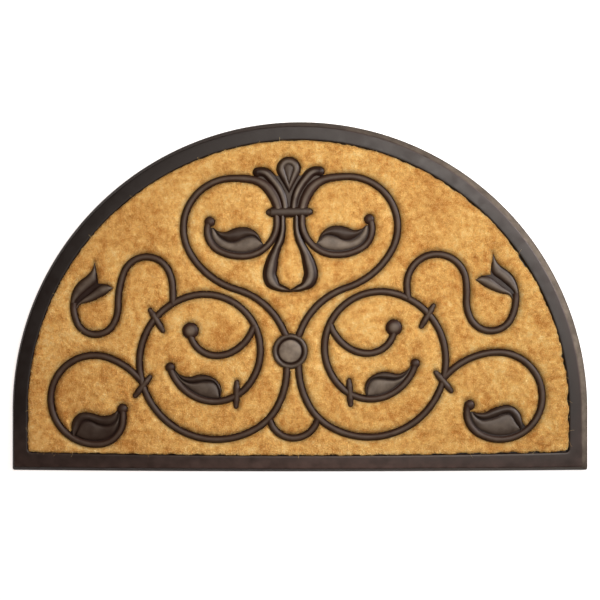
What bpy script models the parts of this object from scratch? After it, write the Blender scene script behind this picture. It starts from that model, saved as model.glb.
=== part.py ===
"""Half-round coir doormat: a rubber moulding with a raised border and scroll bars, and pile in its recesses.

The mat lies flat on z = 0 with its straight edge towards -Y. The origin is under the middle of its outline.
The scroll ornament is drawn as mirrored chains of tangent arcs, from its own round sizes. It sits a little to
the left of the middle and a little turned, as on the real mat, and its crown is a little off its own axis.
"""

import math
from typing import NamedTuple

import bmesh
import bpy

# Driving sizes, in millimetres and degrees
WIDTH = 762.0
DEPTH = 463.0
FLOOR = 3.0
FOOT_HEIGHT = 2.5
BORDER_HEIGHT = 10.0
PILE_HEIGHT = 12.5
GAP = 0.35
BAR_WIDTH = 10.4
BAR_SHOULDER = 7.5
BAR_RIDGE = 10.6
LEAF_TOP = 9.4
ORNAMENT_CENTRE = (-10.0, -69.0)
ORNAMENT_TURN = 0.9
CROWN_AXIS = -1.3

# How finely round stretches are cut into straight ones
ARC_STEPS = 48
EDGE_STEPS = 6
CORNER_STEPS = 3
ROUND_STEPS = 10
BOSS_STEPS = 24
STATION_TURN = 20.0
STATION_LENGTH = 28.0

MM = 0.001
SINK = 1.0
PLATE_BEVEL = 1.4
HEIGHT_STEP = 0.06
COLLAR_RISE = 0.6
BAND_RISE = 1.0
PETAL_RISE = 0.3
LEAST_RECESS = 80.0
SHARP_ANGLE = 30.0


class Outline(NamedTuple):
    """A half-round outline: an arc over two short straight sides, with a slightly bowed bottom edge."""

    radius: float
    centre_x: float
    centre_y: float
    bottom: float
    bow: float
    corner: float


ARC_CENTRE_Y = (DEPTH - WIDTH) / 2
FOOT = Outline(WIDTH / 2, 0.0, ARC_CENTRE_Y, 2.0 - DEPTH / 2, 2.0, 3.0)
RIM = Outline(374.5, -3.0, ARC_CENTRE_Y, 7.0 - DEPTH / 2, 2.5, 3.0)
RECESS = Outline(357.5, -2.0, ARC_CENTRE_Y - 1.0, 26.0 - DEPTH / 2, 4.5, 5.0)


class Arc(NamedTuple):
    """One stretch of a bar: its radius, its sweep, positive to the left, and the bar's width at its end."""

    radius: float
    sweep: float
    width: float = BAR_WIDTH


class Bar(NamedTuple):
    """A moulded bar, or a leaf's edge: its start, first heading, stretches, first width, and mirror line."""

    start: tuple
    heading: float
    arcs: tuple
    width: float = BAR_WIDTH
    axis: float = 0.0


class Leaf(NamedTuple):
    """A leaf blade, which lies between a bar and its own free edge, drawn from its tip to the ball end."""

    bar: Bar
    edge: Bar


class Ball(NamedTuple):
    """The round end of a bar, and the line about which it is mirrored."""

    x: float
    y: float
    radius: float
    axis: float = 0.0


class Collar(NamedTuple):
    """A short tie across a bar, with round ends."""

    x: float
    y: float
    heading: float
    length: float = 38.0
    width: float = 9.0


class Half(NamedTuple):
    """What the two halves of the ornament don't share: their outer bars, and the last leaf with its ball."""

    word: str
    side: int
    upper_tendril: Bar
    lower_spiral: Bar
    leaf_edge: Bar
    ball: Ball


# The right half of the ornament in its own frame: x out from its axis, y up from near the centre of the boss
HEART = Bar((15.5, 182.5), 82.5, (Arc(60, -27.5, 14), Arc(38, -46, 10.5), Arc(158, -9), Arc(66, -119.5),
                                  Arc(105, -43.5), Arc(97, 50), Arc(300, -2)), 13)
RING = Bar((8, -14), 268, (Arc(300, 2), Arc(107, 28), Arc(74, 30), Arc(102, 47), Arc(102, 78), Arc(90, 73),
                           Arc(74, 144), Arc(57, 77), Arc(66, 46)))
INNER_TENDRIL = Bar((49.5, 33), 291, (Arc(150, 3), Arc(59, 38), Arc(44, 32), Arc(35.5, 82)))
HOOK = Bar((17.5, 183), 265, (Arc(300, 2.5), Arc(43, 33), Arc(46, 56), Arc(64, 31), Arc(30, 90)),
           BAR_WIDTH, CROWN_AXIS)
TAIL = Bar((9.2, 180), 268.5, (Arc(400, 2.6, 8), Arc(53, 26, 10.5), Arc(130, -16.5, 18), Arc(20, -40, 18.5),
                               Arc(20, -41, 9.5), Arc(109, -8.5, 3)), 7.5, CROWN_AXIS)
SIDE_PETAL = Bar((5.5, 186), 87, (Arc(60, -35, 12.5), Arc(200, -3.8, 13.5), Arc(14, -44, 12.5),
                                  Arc(30, -8, 12)), 10.5, CROWN_AXIS)
BARS = {"heart": HEART, "ring": RING, "inner_tendril": INNER_TENDRIL, "hook": HOOK, "tail": TAIL,
        "side_petal": SIDE_PETAL}
LEAVES = {
    "hook_leaf": Leaf(HOOK, Bar((38, 143), 78, (Arc(24, -76), Arc(38, -30), Arc(17, 76)))),
    "ring_leaf": Leaf(RING, Bar((96, -61), 110, (Arc(19.5, -69), Arc(30, -60), Arc(21.5, 78)))),
}
BALLS = {"hook_ball": Ball(105.5, 169.7, 6.8, CROWN_AXIS), "tendril_ball": Ball(134.5, 26, 11.0),
         "leaf_ball": Ball(162, -22, 6.3), "petal_end": Ball(41.2, 234.3, 6.3, CROWN_AXIS)}
COLLARS = {"upper_collar": Collar(179, 40.5, 59), "side_collar": Collar(199, -46.5, -51),
           "stem_collar": Collar(75, -59, 93)}
HALVES = (
    Half("right", 1,
         Bar((154.5, 60), 99, (Arc(150, -8), Arc(42, -32), Arc(39, -141), Arc(113, -13), Arc(51, 30),
                               Arc(30, 129), Arc(62, 31))),
         Bar((199, -42), 49, (Arc(97, -46), Arc(59, -98), Arc(56, -115), Arc(32, -66), Arc(47, -7))),
         Bar((302, -101), 87, (Arc(21, 102), Arc(61, 20), Arc(23, -51))),
         Ball(233, -78, 7.0)),
    Half("left", -1,
         Bar((158, 58), 97, (Arc(151, -11), Arc(52, -24), Arc(32, -130), Arc(116, -22), Arc(50, 29),
                             Arc(27, 132), Arc(64, 22))),
         Bar((201, -39), 52, (Arc(96, -32), Arc(57, -96), Arc(60, -108), Arc(33, -76), Arc(52, -22))),
         Bar((293, -103), 73, (Arc(18, 113), Arc(58, 15), Arc(25, -66))),
         Ball(226, -76, 7.0)),
)

# The pieces on the axis: the crown's band, middle petal and low web, the cup under the boss, and the boss
BAND = Collar(CROWN_AXIS, 181, 0, 62.0, 14.0)
PETAL_CENTRE_Y = 238.0
PETAL_RADIUS = 16.0
PETAL_POINT_Y = 205.5
WEB_EDGE = ((18, 184), (22, 200), (30, 212), (43, 225), (38, 232), (26, 230), (14, 229), (0, 238))
WEB_TOP = 7.0
CUP = Bar((31.5, -93.4), 256, (Arc(32.5, -152),))
BOSS_CENTRE = (-2.5, -3.0)
BOSS_PROFILE = ((23.0, 9.0), (21.0, 10.9), (18.5, 10.9), (17.0, 8.8), (15.0, 8.8), (14.2, 10.4))

# The bud at the end of an upper tendril, from that end: the back of its big blade, then its points going round
BUD_BACK = Bar((4.7, -8), 90, (Arc(90, 10), Arc(36, 50), Arc(30, -50)))
BUD_POINTS = ((-31.5, 37), (-32.8, 24.5), (-45, 23.7), (-52.5, 18.5), (-42, 10.3), (-31, 4.3), (-20, 0.3),
              (-9, -2), (-4.7, -8))


def clear_scene():
    """Remove every object, so that the file holds only the mat."""
    for obj in list(bpy.data.objects):
        bpy.data.objects.remove(obj, do_unlink=True)


def outline_points(shape, inward=0.0):
    """An outline's points, anticlockwise from the middle of its bottom edge, moved inward by a distance."""
    radius = shape.radius - inward
    corner = max(shape.corner - inward, 1.0)
    reach = radius - corner
    side_y = shape.bottom + inward + corner

    def bowed(x):
        """The height of the bowed bottom edge at one place."""
        return shape.bottom + inward - shape.bow * (1 - ((x - shape.centre_x) / reach) ** 2)

    def round_part(centre_x, centre_y, size, start, sweep, steps):
        """Points along an arc, both ends included."""
        angles = (math.radians(start + sweep * i / steps) for i in range(steps + 1))
        return [(centre_x + size * math.cos(a), centre_y + size * math.sin(a)) for a in angles]

    right = [shape.centre_x + reach * i / EDGE_STEPS for i in range(EDGE_STEPS)]
    left = [shape.centre_x - reach * (1 - i / EDGE_STEPS) for i in range(1, EDGE_STEPS)]
    return ([(x, bowed(x)) for x in right]
            + round_part(shape.centre_x + reach, side_y, corner, -90, 90, CORNER_STEPS)
            + round_part(shape.centre_x, shape.centre_y, radius, 0, 180, ARC_STEPS)
            + round_part(shape.centre_x - reach, side_y, corner, 180, 90, CORNER_STEPS)
            + [(x, bowed(x)) for x in left])


def new_object(name, bm):
    """An object of a finished bmesh, whose faces are turned outward."""
    bmesh.ops.recalc_face_normals(bm, faces=bm.faces)
    mesh = bpy.data.meshes.new(name)
    bm.to_mesh(mesh)
    bm.free()
    obj = bpy.data.objects.new(name, mesh)
    bpy.context.scene.collection.objects.link(obj)
    return obj


def skinned(name, loops):
    """A closed solid through loops of as many points each, in millimetres, capped at the first and the last."""
    bm = bmesh.new()
    rings = [[bm.verts.new((x * MM, y * MM, z * MM)) for x, y, z in loop] for loop in loops]
    count = len(rings[0])
    for lower, upper in zip(rings, rings[1:]):
        for i in range(count):
            j = (i + 1) % count
            bm.faces.new((lower[i], lower[j], upper[j], upper[i]))
    bm.faces.new(list(reversed(rings[0])))
    bm.faces.new(rings[-1])
    return new_object(name, bm)


def at_height(points, z):
    """The points of an outline, all at one height."""
    return [(x, y, z) for x, y in points]


def to_mat(x, y, side):
    """A point of the ornament's right half on the mat, or of its mirror image for side -1."""
    turn = math.radians(ORNAMENT_TURN)
    x *= side
    return (ORNAMENT_CENTRE[0] + x * math.cos(turn) - y * math.sin(turn),
            ORNAMENT_CENTRE[1] + x * math.sin(turn) + y * math.cos(turn))


def stations(bar):
    """The places along a bar, each with its heading in radians and its width."""
    x, y = bar.start
    heading = math.radians(bar.heading)
    width = bar.width
    found = [(x, y, heading, width)]
    for arc in bar.arcs:
        sweep = math.radians(arc.sweep)
        steps = math.ceil(max(abs(arc.sweep) / STATION_TURN, abs(sweep) * arc.radius / STATION_LENGTH))
        radius = math.copysign(arc.radius, arc.sweep)
        centre_x, centre_y = x - radius * math.sin(heading), y + radius * math.cos(heading)
        for i in range(1, steps + 1):
            a = heading + sweep * i / steps
            found.append((centre_x + radius * math.sin(a), centre_y - radius * math.cos(a), a,
                          width + (arc.width - width) * i / steps))
        heading += sweep
        x, y = found[-1][:2]
        width = arc.width
    return found


def bar_loops(bar, side, profile, ahead=0.0):
    """The cross-sections of a bar: profile gives share of the half width, extra width and height."""
    places = stations(bar)
    loops = []
    for index, (x, y, heading, width) in enumerate(places):
        shift = ahead * ((index == len(places) - 1) - (index == 0))
        x, y = x + side * bar.axis + shift * math.cos(heading), y + shift * math.sin(heading)
        nx, ny = -math.sin(heading), math.cos(heading)
        offsets = [(share * width / 2 + extra, z) for share, extra, z in profile]
        loops.append([(*to_mat(x + nx * o, y + ny * o, side), z) for o, z in offsets])
    return loops


def raised_bar(name, bar, side, lift):
    """A bar with upright walls and a ridge along its top."""
    profile = ((-1, 0, FLOOR - SINK), (-1, 0, BAR_SHOULDER + lift), (0, 0, BAR_RIDGE + lift),
               (1, 0, BAR_SHOULDER + lift), (1, 0, FLOOR - SINK))
    return skinned(name, bar_loops(bar, side, profile))


def bar_slot(name, bar, side):
    """The upright slot that the pile leaves for a bar."""
    low, high = FLOOR - SINK, PILE_HEIGHT + SINK
    profile = ((-1, -GAP, low), (-1, -GAP, high), (1, GAP, high), (1, GAP, low))
    return skinned(name, bar_loops(bar, side, profile, ahead=GAP))


def grown(points, distance):
    """An outline that goes round anticlockwise, moved outward by a distance, or inward for a negative one."""
    moved = []
    for (ax, ay), (x, y), (bx, by) in zip(points[-1:] + points[:-1], points, points[1:] + points[:1]):
        first = math.atan2(y - ay, x - ax)
        turn = math.remainder(math.atan2(by - y, bx - x) - first, math.tau)
        a = first + turn / 2 - math.pi / 2
        reach = distance / max(math.cos(turn / 2), 0.5)
        moved.append((x + reach * math.cos(a), y + reach * math.sin(a)))
    return moved


def plate(name, points, top, bevel=PLATE_BEVEL):
    """A flat raised piece with a bevelled top edge, rooted in the floor."""
    return skinned(name, [at_height(points, FLOOR - SINK), at_height(points, top - bevel),
                          at_height(grown(points, -bevel), top)])


def plate_slot(name, points):
    """The upright slot that the pile leaves for a plate."""
    wide = grown(points, GAP)
    return skinned(name, [at_height(wide, FLOOR - SINK), at_height(wide, PILE_HEIGHT + SINK)])


def circle(x, y, radius, steps=ROUND_STEPS):
    """The points of a circle, anticlockwise."""
    angles = (math.tau * i / steps for i in range(steps))
    return [(x + radius * math.cos(a), y + radius * math.sin(a)) for a in angles]


def capsule(collar):
    """The outline of a collar: a strip with round ends, anticlockwise."""
    half = (collar.length - collar.width) / 2
    points = []
    for end in (1, -1):
        for i in range(ROUND_STEPS // 2 + 1):
            a = math.pi * i / (ROUND_STEPS // 2) - math.pi / 2
            points.append((end * (half + collar.width / 2 * math.cos(a)), end * collar.width / 2 * math.sin(a)))
    c, s = math.cos(math.radians(collar.heading)), math.sin(math.radians(collar.heading))
    return [(collar.x + x * c - y * s, collar.y + x * s + y * c) for x, y in points]


def teardrop():
    """The outline of the crown's middle petal: round on top, drawn to a point between the side petals."""
    drop = PETAL_CENTRE_Y - PETAL_POINT_Y
    tangent = math.degrees(math.asin(PETAL_RADIUS / drop))
    sweep = 180 + 2 * tangent
    points = [(CROWN_AXIS, PETAL_POINT_Y)]
    for step in range(ROUND_STEPS + 1):
        a = math.radians(sweep * step / ROUND_STEPS - tangent)
        points.append((CROWN_AXIS + PETAL_RADIUS * math.cos(a), PETAL_CENTRE_Y + PETAL_RADIUS * math.sin(a)))
    return points


def web():
    """The outline of the low web that fills the crown between its petals."""
    left = [(-x, y) for x, y in reversed(WEB_EDGE[:-1])]
    return [(CROWN_AXIS + x, y) for x, y in (*WEB_EDGE, *left)]


def leaf_outline(leaf):
    """The outline of a leaf: its free edge, and back along the middle of its bar."""
    edge = [(x, y) for x, y, _, _ in stations(leaf.edge)]
    rail = [(x, y) for x, y, _, _ in stations(leaf.bar)]

    def nearest(point):
        """The bar's station nearest to a point."""
        return min(range(len(rail)), key=lambda i: math.dist(rail[i], point))

    first, last = nearest(edge[0]), nearest(edge[-1])
    return edge + list(reversed(rail[first:last + 1]))


def bud_outline(tendril):
    """The outline of the bud at the end of a tendril: the back of its big blade, then its other points."""
    end_x, end_y = stations(tendril)[-1][:2]
    points = [(x, y) for x, y, _, _ in stations(BUD_BACK)] + list(BUD_POINTS)
    return [(end_x + x, end_y + y) for x, y in points]


def on_mat(points, side):
    """An outline of the ornament's right half on the mat, turned so that it goes round anticlockwise."""
    placed = [to_mat(x, y, side) for x, y in points]
    area = sum(ax * by - bx * ay for (ax, ay), (bx, by) in zip(placed, placed[1:] + placed[:1]))
    return placed if area > 0 else placed[::-1]


def half_bars(half):
    """Every bar of one half by name."""
    return {**BARS, "upper_tendril": half.upper_tendril, "lower_spiral": half.lower_spiral}


def moved(points, distance):
    """An outline moved along x."""
    return [(x + distance, y) for x, y in points]


def half_plates(half):
    """Every flat piece of one half: its name, outline and top height."""
    leaves = {**LEAVES, "spiral_leaf": Leaf(half.lower_spiral, half.leaf_edge)}
    found = [(name, moved(leaf_outline(leaf), half.side * leaf.bar.axis), LEAF_TOP)
             for name, leaf in leaves.items()]
    found.append(("bud", bud_outline(half.upper_tendril), LEAF_TOP))
    found += [(name, circle(ball.x + half.side * ball.axis, ball.y, ball.radius), BAR_RIDGE)
              for name, ball in {**BALLS, "spiral_ball": half.ball}.items()]
    found += [(name, capsule(collar), BAR_RIDGE + COLLAR_RISE) for name, collar in COLLARS.items()]
    return found


def plate_outlines():
    """The flat pieces of the ornament: each name with its outline on the mat and the height of its top."""
    found = {"band": (on_mat(capsule(BAND), 1), BAR_RIDGE + BAND_RISE),
             "middle_petal": (on_mat(teardrop(), 1), BAR_RIDGE + PETAL_RISE),
             "web": (on_mat(web(), 1), WEB_TOP)}
    for half in HALVES:
        for step, (name, points, top) in enumerate(half_plates(half)):
            drop = HEIGHT_STEP * (2 * step + (half.side < 0))
            found[f"{name}_{half.word}"] = (on_mat(points, half.side), top - drop)
    return found


def boss_loops():
    """The turned boss: a rim, a groove and a raised disc."""
    centre = to_mat(*BOSS_CENTRE, 1)
    low = at_height(circle(*centre, BOSS_PROFILE[0][0], BOSS_STEPS), FLOOR - SINK)
    return [low] + [at_height(circle(*centre, radius, BOSS_STEPS), z) for radius, z in BOSS_PROFILE]


def ornament_solids():
    """Every raised piece of the ornament, as overlapping solids rooted in the floor."""
    solids = [skinned("boss", boss_loops()), raised_bar("cup", CUP, 1, -HEIGHT_STEP)]
    for half in HALVES:
        for step, (name, bar) in enumerate(half_bars(half).items()):
            solids.append(raised_bar(name, bar, half.side, HEIGHT_STEP * (2 * step + (half.side < 0))))
    solids += [plate(name, points, top) for name, (points, top) in plate_outlines().items()]
    return solids


def ornament_slots():
    """The slots that the pile leaves for every raised piece."""
    centre = to_mat(*BOSS_CENTRE, 1)
    slots = [plate_slot("boss", circle(*centre, BOSS_PROFILE[0][0], BOSS_STEPS)), bar_slot("cup", CUP, 1)]
    for half in HALVES:
        slots += [bar_slot(name, bar, half.side) for name, bar in half_bars(half).items()]
    slots += [plate_slot(name, points) for name, (points, _) in plate_outlines().items()]
    return slots


def tray():
    """The moulding's floor and border: flat underneath, with a bevelled outer side and an upright inner one."""
    return skinned("rubber_moulding", [
        at_height(outline_points(FOOT), 0.0),
        at_height(outline_points(FOOT), FOOT_HEIGHT),
        at_height(outline_points(RIM), BORDER_HEIGHT),
        at_height(outline_points(RECESS), BORDER_HEIGHT),
        at_height(outline_points(RECESS), FLOOR),
    ])


def combine(obj, tools, operation):
    """Join other solids to an object, or cut them out of it, and remove them."""
    group = bpy.data.collections.new("tools")
    for tool in tools:
        group.objects.link(tool)
    cut = obj.modifiers.new(operation.lower(), "BOOLEAN")
    cut.operation = operation
    cut.operand_type = "COLLECTION"
    cut.collection = group
    cut.solver = "EXACT"
    bpy.context.view_layer.update()
    result = bpy.data.meshes.new_from_object(obj.evaluated_get(bpy.context.evaluated_depsgraph_get()))
    obj.modifiers.clear()
    obj.data = result
    for tool in tools:
        bpy.data.objects.remove(tool, do_unlink=True)
    bpy.data.collections.remove(group)


def connected(start):
    """Every vertex that edges join to one, itself included."""
    found = {start}
    stack = [start]
    while stack:
        for edge in stack.pop().link_edges:
            fresh = set(edge.verts) - found
            found |= fresh
            stack += fresh
    return found


def separate_recesses(obj):
    """The separate bodies of an object as new meshes, the largest first, without slivers."""
    whole = bmesh.new()
    whole.from_mesh(obj.data)
    unseen = set(whole.verts)
    bodies = []
    while unseen:
        body = connected(next(iter(unseen)))
        unseen -= body
        bodies.append({vert.index for vert in body})
    whole.free()
    found = []
    for body in sorted(bodies, key=min):
        part = bmesh.new()
        part.from_mesh(obj.data)
        bmesh.ops.delete(part, geom=[vert for vert in part.verts if vert.index not in body], context="VERTS")
        area = part.calc_volume() / (MM ** 3 * (PILE_HEIGHT - FLOOR - GAP))
        found.append((area, part))
    found.sort(key=lambda item: -item[0])
    return [part for area, part in found if area > LEAST_RECESS]


def named_recesses(obj):
    """The bodies of pile by name: the two large ones, the drop by the straight edge, and the eye."""
    field, heart, *small = separate_recesses(obj)
    drop, eye = sorted(small, key=lambda part: min(vert.co.y for vert in part.verts))
    return {"coir_field": field, "coir_heart": heart, "coir_drop": drop, "coir_eye": eye}


def material(name, colour, roughness):
    """A plain finish."""
    made = bpy.data.materials.new(name)
    made.use_nodes = True
    shader = made.node_tree.nodes["Principled BSDF"]
    shader.inputs["Base Color"].default_value = (*colour, 1.0)
    shader.inputs["Roughness"].default_value = roughness
    return made


def dress(obj, finish):
    """Give an object its one finish, smooth where it is round."""
    obj.data.materials.clear()
    obj.data.materials.append(finish)
    obj.data.shade_smooth()
    obj.data.set_sharp_from_angle(angle=math.radians(SHARP_ANGLE))


def main():
    """Build the moulding, then one body of pile for each of its recesses."""
    clear_scene()
    rubber = material("moulded rubber", (0.060, 0.045, 0.038), 0.55)
    coir = material("coir pile", (0.45, 0.25, 0.09), 0.95)
    moulding = tray()
    combine(moulding, ornament_solids(), "UNION")
    dress(moulding, rubber)
    pile = skinned("pile", [at_height(outline_points(RECESS, GAP), FLOOR + GAP),
                            at_height(outline_points(RECESS, GAP), PILE_HEIGHT)])
    combine(pile, ornament_slots(), "DIFFERENCE")
    for name, part in named_recesses(pile).items():
        dress(new_object(name, part), coir)
    bpy.data.objects.remove(pile, do_unlink=True)


main()
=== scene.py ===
"""Half-round coir doormat: a moulded rubber tray with a scroll ornament, and cut coir pile in its recesses.

The frame gives the mat's box and the height of its pile. Sizes are in millimetres and degrees. The ornament
has a frame of its own: x out from its axis, y up from near the centre of the boss. Each bar is a chain of
tangent arcs, drawn once for the right half and mirrored for the left. Only the outer bars differ a little.
"""

import logging
import math
from dataclasses import dataclass, field
from enum import Enum
from typing import Any, Iterable, Sequence

import bmesh
import bpy
import numpy as np
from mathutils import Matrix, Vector, kdtree, noise
from mathutils.geometry import delaunay_2d_cdt


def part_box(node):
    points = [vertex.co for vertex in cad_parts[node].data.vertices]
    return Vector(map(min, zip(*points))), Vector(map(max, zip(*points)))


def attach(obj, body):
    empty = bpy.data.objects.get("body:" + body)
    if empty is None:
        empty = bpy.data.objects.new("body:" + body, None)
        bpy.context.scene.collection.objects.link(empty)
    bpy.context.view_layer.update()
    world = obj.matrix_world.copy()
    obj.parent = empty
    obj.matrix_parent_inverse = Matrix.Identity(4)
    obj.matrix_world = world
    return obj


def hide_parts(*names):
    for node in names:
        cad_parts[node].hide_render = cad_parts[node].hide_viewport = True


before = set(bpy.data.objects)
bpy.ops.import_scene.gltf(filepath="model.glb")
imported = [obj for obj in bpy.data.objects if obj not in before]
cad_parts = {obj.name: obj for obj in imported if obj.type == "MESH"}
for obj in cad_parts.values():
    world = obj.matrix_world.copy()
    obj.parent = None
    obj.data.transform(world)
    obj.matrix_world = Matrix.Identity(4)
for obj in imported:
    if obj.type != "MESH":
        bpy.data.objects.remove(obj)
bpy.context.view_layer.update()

LOG = logging.getLogger("doormat")
MM = 0.001


def node_box(node: str) -> tuple[np.ndarray, np.ndarray]:
    """Give a CAD node's box in millimetres.

    Args:
        node: the node's name.

    Returns:
        Its lowest and its highest corner.
    """
    low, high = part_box(node)
    return np.array(low) / MM, np.array(high) / MM


# What the frame says: the mat's outline, and where the body of the pile starts
MAT_LOW, MAT_HIGH = node_box("rubber_moulding")
PILE_LOW = node_box("coir_field")[0]
WIDTH, DEPTH = (MAT_HIGH - MAT_LOW)[:2]

# The pile stands a gap clear of the rubber, and what stands on the rubber floor is rooted in it
GAP = 0.35
ROOT_DEPTH = 1.0
FLOOR = PILE_LOW[2] - GAP
ROOT = FLOOR - ROOT_DEPTH

# The tray: the heights of its thin foot and of its border
FOOT_HEIGHT = 2.5
BORDER_HEIGHT = 10.0

# A bar: its sides stand upright, and from a draft below its shoulder they draw in by the flank
BAR_WIDTH = 9.0
BAR_SHOULDER = 7.2
BAR_DRAFT = 2.0
BAR_FLANK = 0.4
BAR_RIDGE = 10.6
# Each bar in turn stands a little higher, so that no two tops lie in one plane where they cross
BAR_LIFT = 0.05
# The top of a ridged bar: how far it rises at shares of the half width, from its ridge out
RIDGE_SHARES = (0.0, 0.14, 0.32, 0.75, 1.0)
RIDGE_RISES = (1.0, 0.98, 0.86, 0.52, 0.0)

# How pale the rubber is painted with the dust colour, as a share of full cover: a painted highlight along the
# ridge of a bar, of a petal, and so on
BAR_RIDGE_HIGHLIGHT = 0.2
PETAL_RIDGE_HIGHLIGHT = 0.6
CROWN_BAR_HIGHLIGHT = 0.55
TOP_HIGHLIGHT = 0.2
BALL_HIGHLIGHT = 0.5
SMALL_BALL_HIGHLIGHT = 0.08
ROLL_HIGHLIGHT = 0.12
BUD_HIGHLIGHT = 0.5

# Where the ornament lies on the mat, how far it is turned, and the line about which its crown is mirrored
ORNAMENT_CENTRE = (-10.0, -69.0)
ORNAMENT_TURN = 0.9
CROWN_AXIS = -1.3

# Where feet cross the straight side most: the middle of that stretch, half its length, and how far in it goes
TRODDEN_X = 25.0
TRODDEN_HALF = 220.0
TRODDEN_REACH = 60.0


class Side(Enum):
    """The two mirrored halves of the ornament."""

    RIGHT = 1
    LEFT = -1


class Section(Enum):
    """How the top of a bar is shaped."""

    ROUND = "round"
    RIDGED = "ridged"


@dataclass(frozen=True)
class HalfRound:
    """A half-round outline: an arc over two short straight sides, with a slightly bowed bottom edge."""

    radius: float
    centre_x: float
    centre_y: float
    bottom: float
    bow: float
    corner: float
    least_corner: float = 1.0
    arc_steps: int = 150
    edge_steps: int = 30
    corner_steps: int = 6

    def points(self, inward: float = 0.0) -> np.ndarray:
        """Draw the outline.

        Args:
            inward: how far it is moved inward.

        Returns:
            Its points, anticlockwise from the middle of the bottom edge.
        """
        radius = self.radius - inward
        corner = max(self.corner - inward, self.least_corner)
        reach = radius - corner
        side_y = self.bottom + inward + corner
        right = self.centre_x + reach * np.arange(self.edge_steps) / self.edge_steps
        left = self.centre_x - reach * (1 - np.arange(1, self.edge_steps) / self.edge_steps)
        return np.concatenate([
            self.bowed(right, reach, inward),
            round_part(self.centre_x + reach, side_y, corner, -90, 90, self.corner_steps),
            round_part(self.centre_x, self.centre_y, radius, 0, 180, self.arc_steps),
            round_part(self.centre_x - reach, side_y, corner, 180, 90, self.corner_steps),
            self.bowed(left, reach, inward),
        ])

    def bowed(self, x: np.ndarray, reach: float, inward: float) -> np.ndarray:
        """Draw a stretch of the bottom edge.

        Args:
            x: the places along it.
            reach: how far the edge runs either side of its middle.
            inward: how far the outline is moved inward.

        Returns:
            A point for each place.
        """
        sag = self.bow * (1 - ((x - self.centre_x) / reach) ** 2)
        return np.stack([x, self.bottom + inward - sag], axis=1)


def round_part(x: float, y: float, radius: float, start: float, sweep: float, steps: int) -> np.ndarray:
    """Draw an arc.

    Args:
        x: its centre.
        y: its centre.
        radius: its radius.
        start: the angle at which it starts, in degrees.
        sweep: how far it turns, in degrees.
        steps: how many straight pieces it is cut into.

    Returns:
        Its points, both ends included.
    """
    angles = np.radians(start + sweep * np.arange(steps + 1) / steps)
    return np.stack([x + radius * np.cos(angles), y + radius * np.sin(angles)], axis=1)


def circle(x: float, y: float, radius: float, steps: int = 48) -> np.ndarray:
    """Draw a circle, anticlockwise, without its first point again."""
    return round_part(x, y, radius, 0, 360, steps)[:-1]


def ahead_and_left(heading: np.ndarray | float) -> tuple[np.ndarray, np.ndarray]:
    """Give a step of one ahead and a step of one to the left, for each heading in radians."""
    cosine, sine = np.cos(heading), np.sin(heading)
    return np.stack([cosine, sine], axis=-1), np.stack([-sine, cosine], axis=-1)


def resampled(points: np.ndarray, count: int) -> np.ndarray:
    """Space points evenly along a line.

    Args:
        points: the line's own points.
        count: how many are wanted.

    Returns:
        That many points on the line, both ends included.
    """
    lengths = np.linalg.norm(np.diff(points, axis=0), axis=1)
    along = np.concatenate([[0.0], np.cumsum(lengths)])
    wanted = np.linspace(0.0, along[-1], count)
    return np.stack([np.interp(wanted, along, points[:, k]) for k in range(points.shape[1])], axis=1)


def smooth_line(points: Sequence[Sequence[float]], count: int, fineness: int = 12) -> np.ndarray:
    """Draw a smooth line through a few points, as a Catmull-Rom spline.

    Args:
        points: the points that it passes.
        count: how many points are wanted.
        fineness: how many pieces each span is cut into first.

    Returns:
        Evenly spaced points along it.
    """
    given = np.array(points, dtype=float)
    padded = np.concatenate([[2 * given[0] - given[1]], given, [2 * given[-1] - given[-2]]])
    t = np.arange(fineness)[:, None] / fineness
    spans = []
    for before, first, second, after in zip(padded, padded[1:], padded[2:], padded[3:]):
        spans.append(0.5 * (2 * first + (second - before) * t
                            + (2 * before - 5 * first + 4 * second - after) * t ** 2
                            + (3 * first - before - 3 * second + after) * t ** 3))
    return resampled(np.concatenate(spans + [given[-1:]]), count)


def grown(points: np.ndarray, distance: float, sharpest: float = 0.5) -> np.ndarray:
    """Move an outline outward.

    Args:
        points: an outline that goes round anticlockwise.
        distance: how far it is moved, negative for inward.
        sharpest: the least cosine that a corner is reckoned with, so that a sharp one isn't thrown far out.

    Returns:
        The moved outline.
    """
    before = points - np.roll(points, 1, axis=0)
    after = np.roll(points, -1, axis=0) - points
    first = np.arctan2(before[:, 1], before[:, 0])
    turn = np.arctan2(after[:, 1], after[:, 0]) - first
    turn = np.remainder(turn + math.pi, math.tau) - math.pi
    angle = first + turn / 2 - math.pi / 2
    reach = distance / np.maximum(np.cos(turn / 2), sharpest)
    return points + np.stack([reach * np.cos(angle), reach * np.sin(angle)], axis=1)


def anticlockwise(points: np.ndarray) -> np.ndarray:
    """Give an outline the way round that faces up."""
    x, y = points[:, 0], points[:, 1]
    area = np.sum(x * np.roll(y, -1) - np.roll(x, -1) * y)
    return points if area > 0 else points[::-1]


def trodden(points: np.ndarray) -> np.ndarray:
    """Say how near points are to the middle of the mat's straight side, which feet cross most.

    Args:
        points: places on the mat.

    Returns:
        A share from 0 to 1 for each.
    """
    along = (points[:, 0] - TRODDEN_X) / TRODDEN_HALF
    inward = (points[:, 1] + DEPTH / 2) / TRODDEN_REACH
    return np.exp(-along ** 2 - inward ** 2)


@dataclass(frozen=True)
class Waves:
    """Smooth random waves over the mat: how wide and how high they are, and which ones they are."""

    width: float
    height: float
    layer: float

    def at(self, points: np.ndarray) -> np.ndarray:
        """Give how high the waves are at each of some places."""
        scaled = points / self.width
        return self.height * np.array([noise.noise((x, y, self.layer)) for x, y in scaled])


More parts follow.
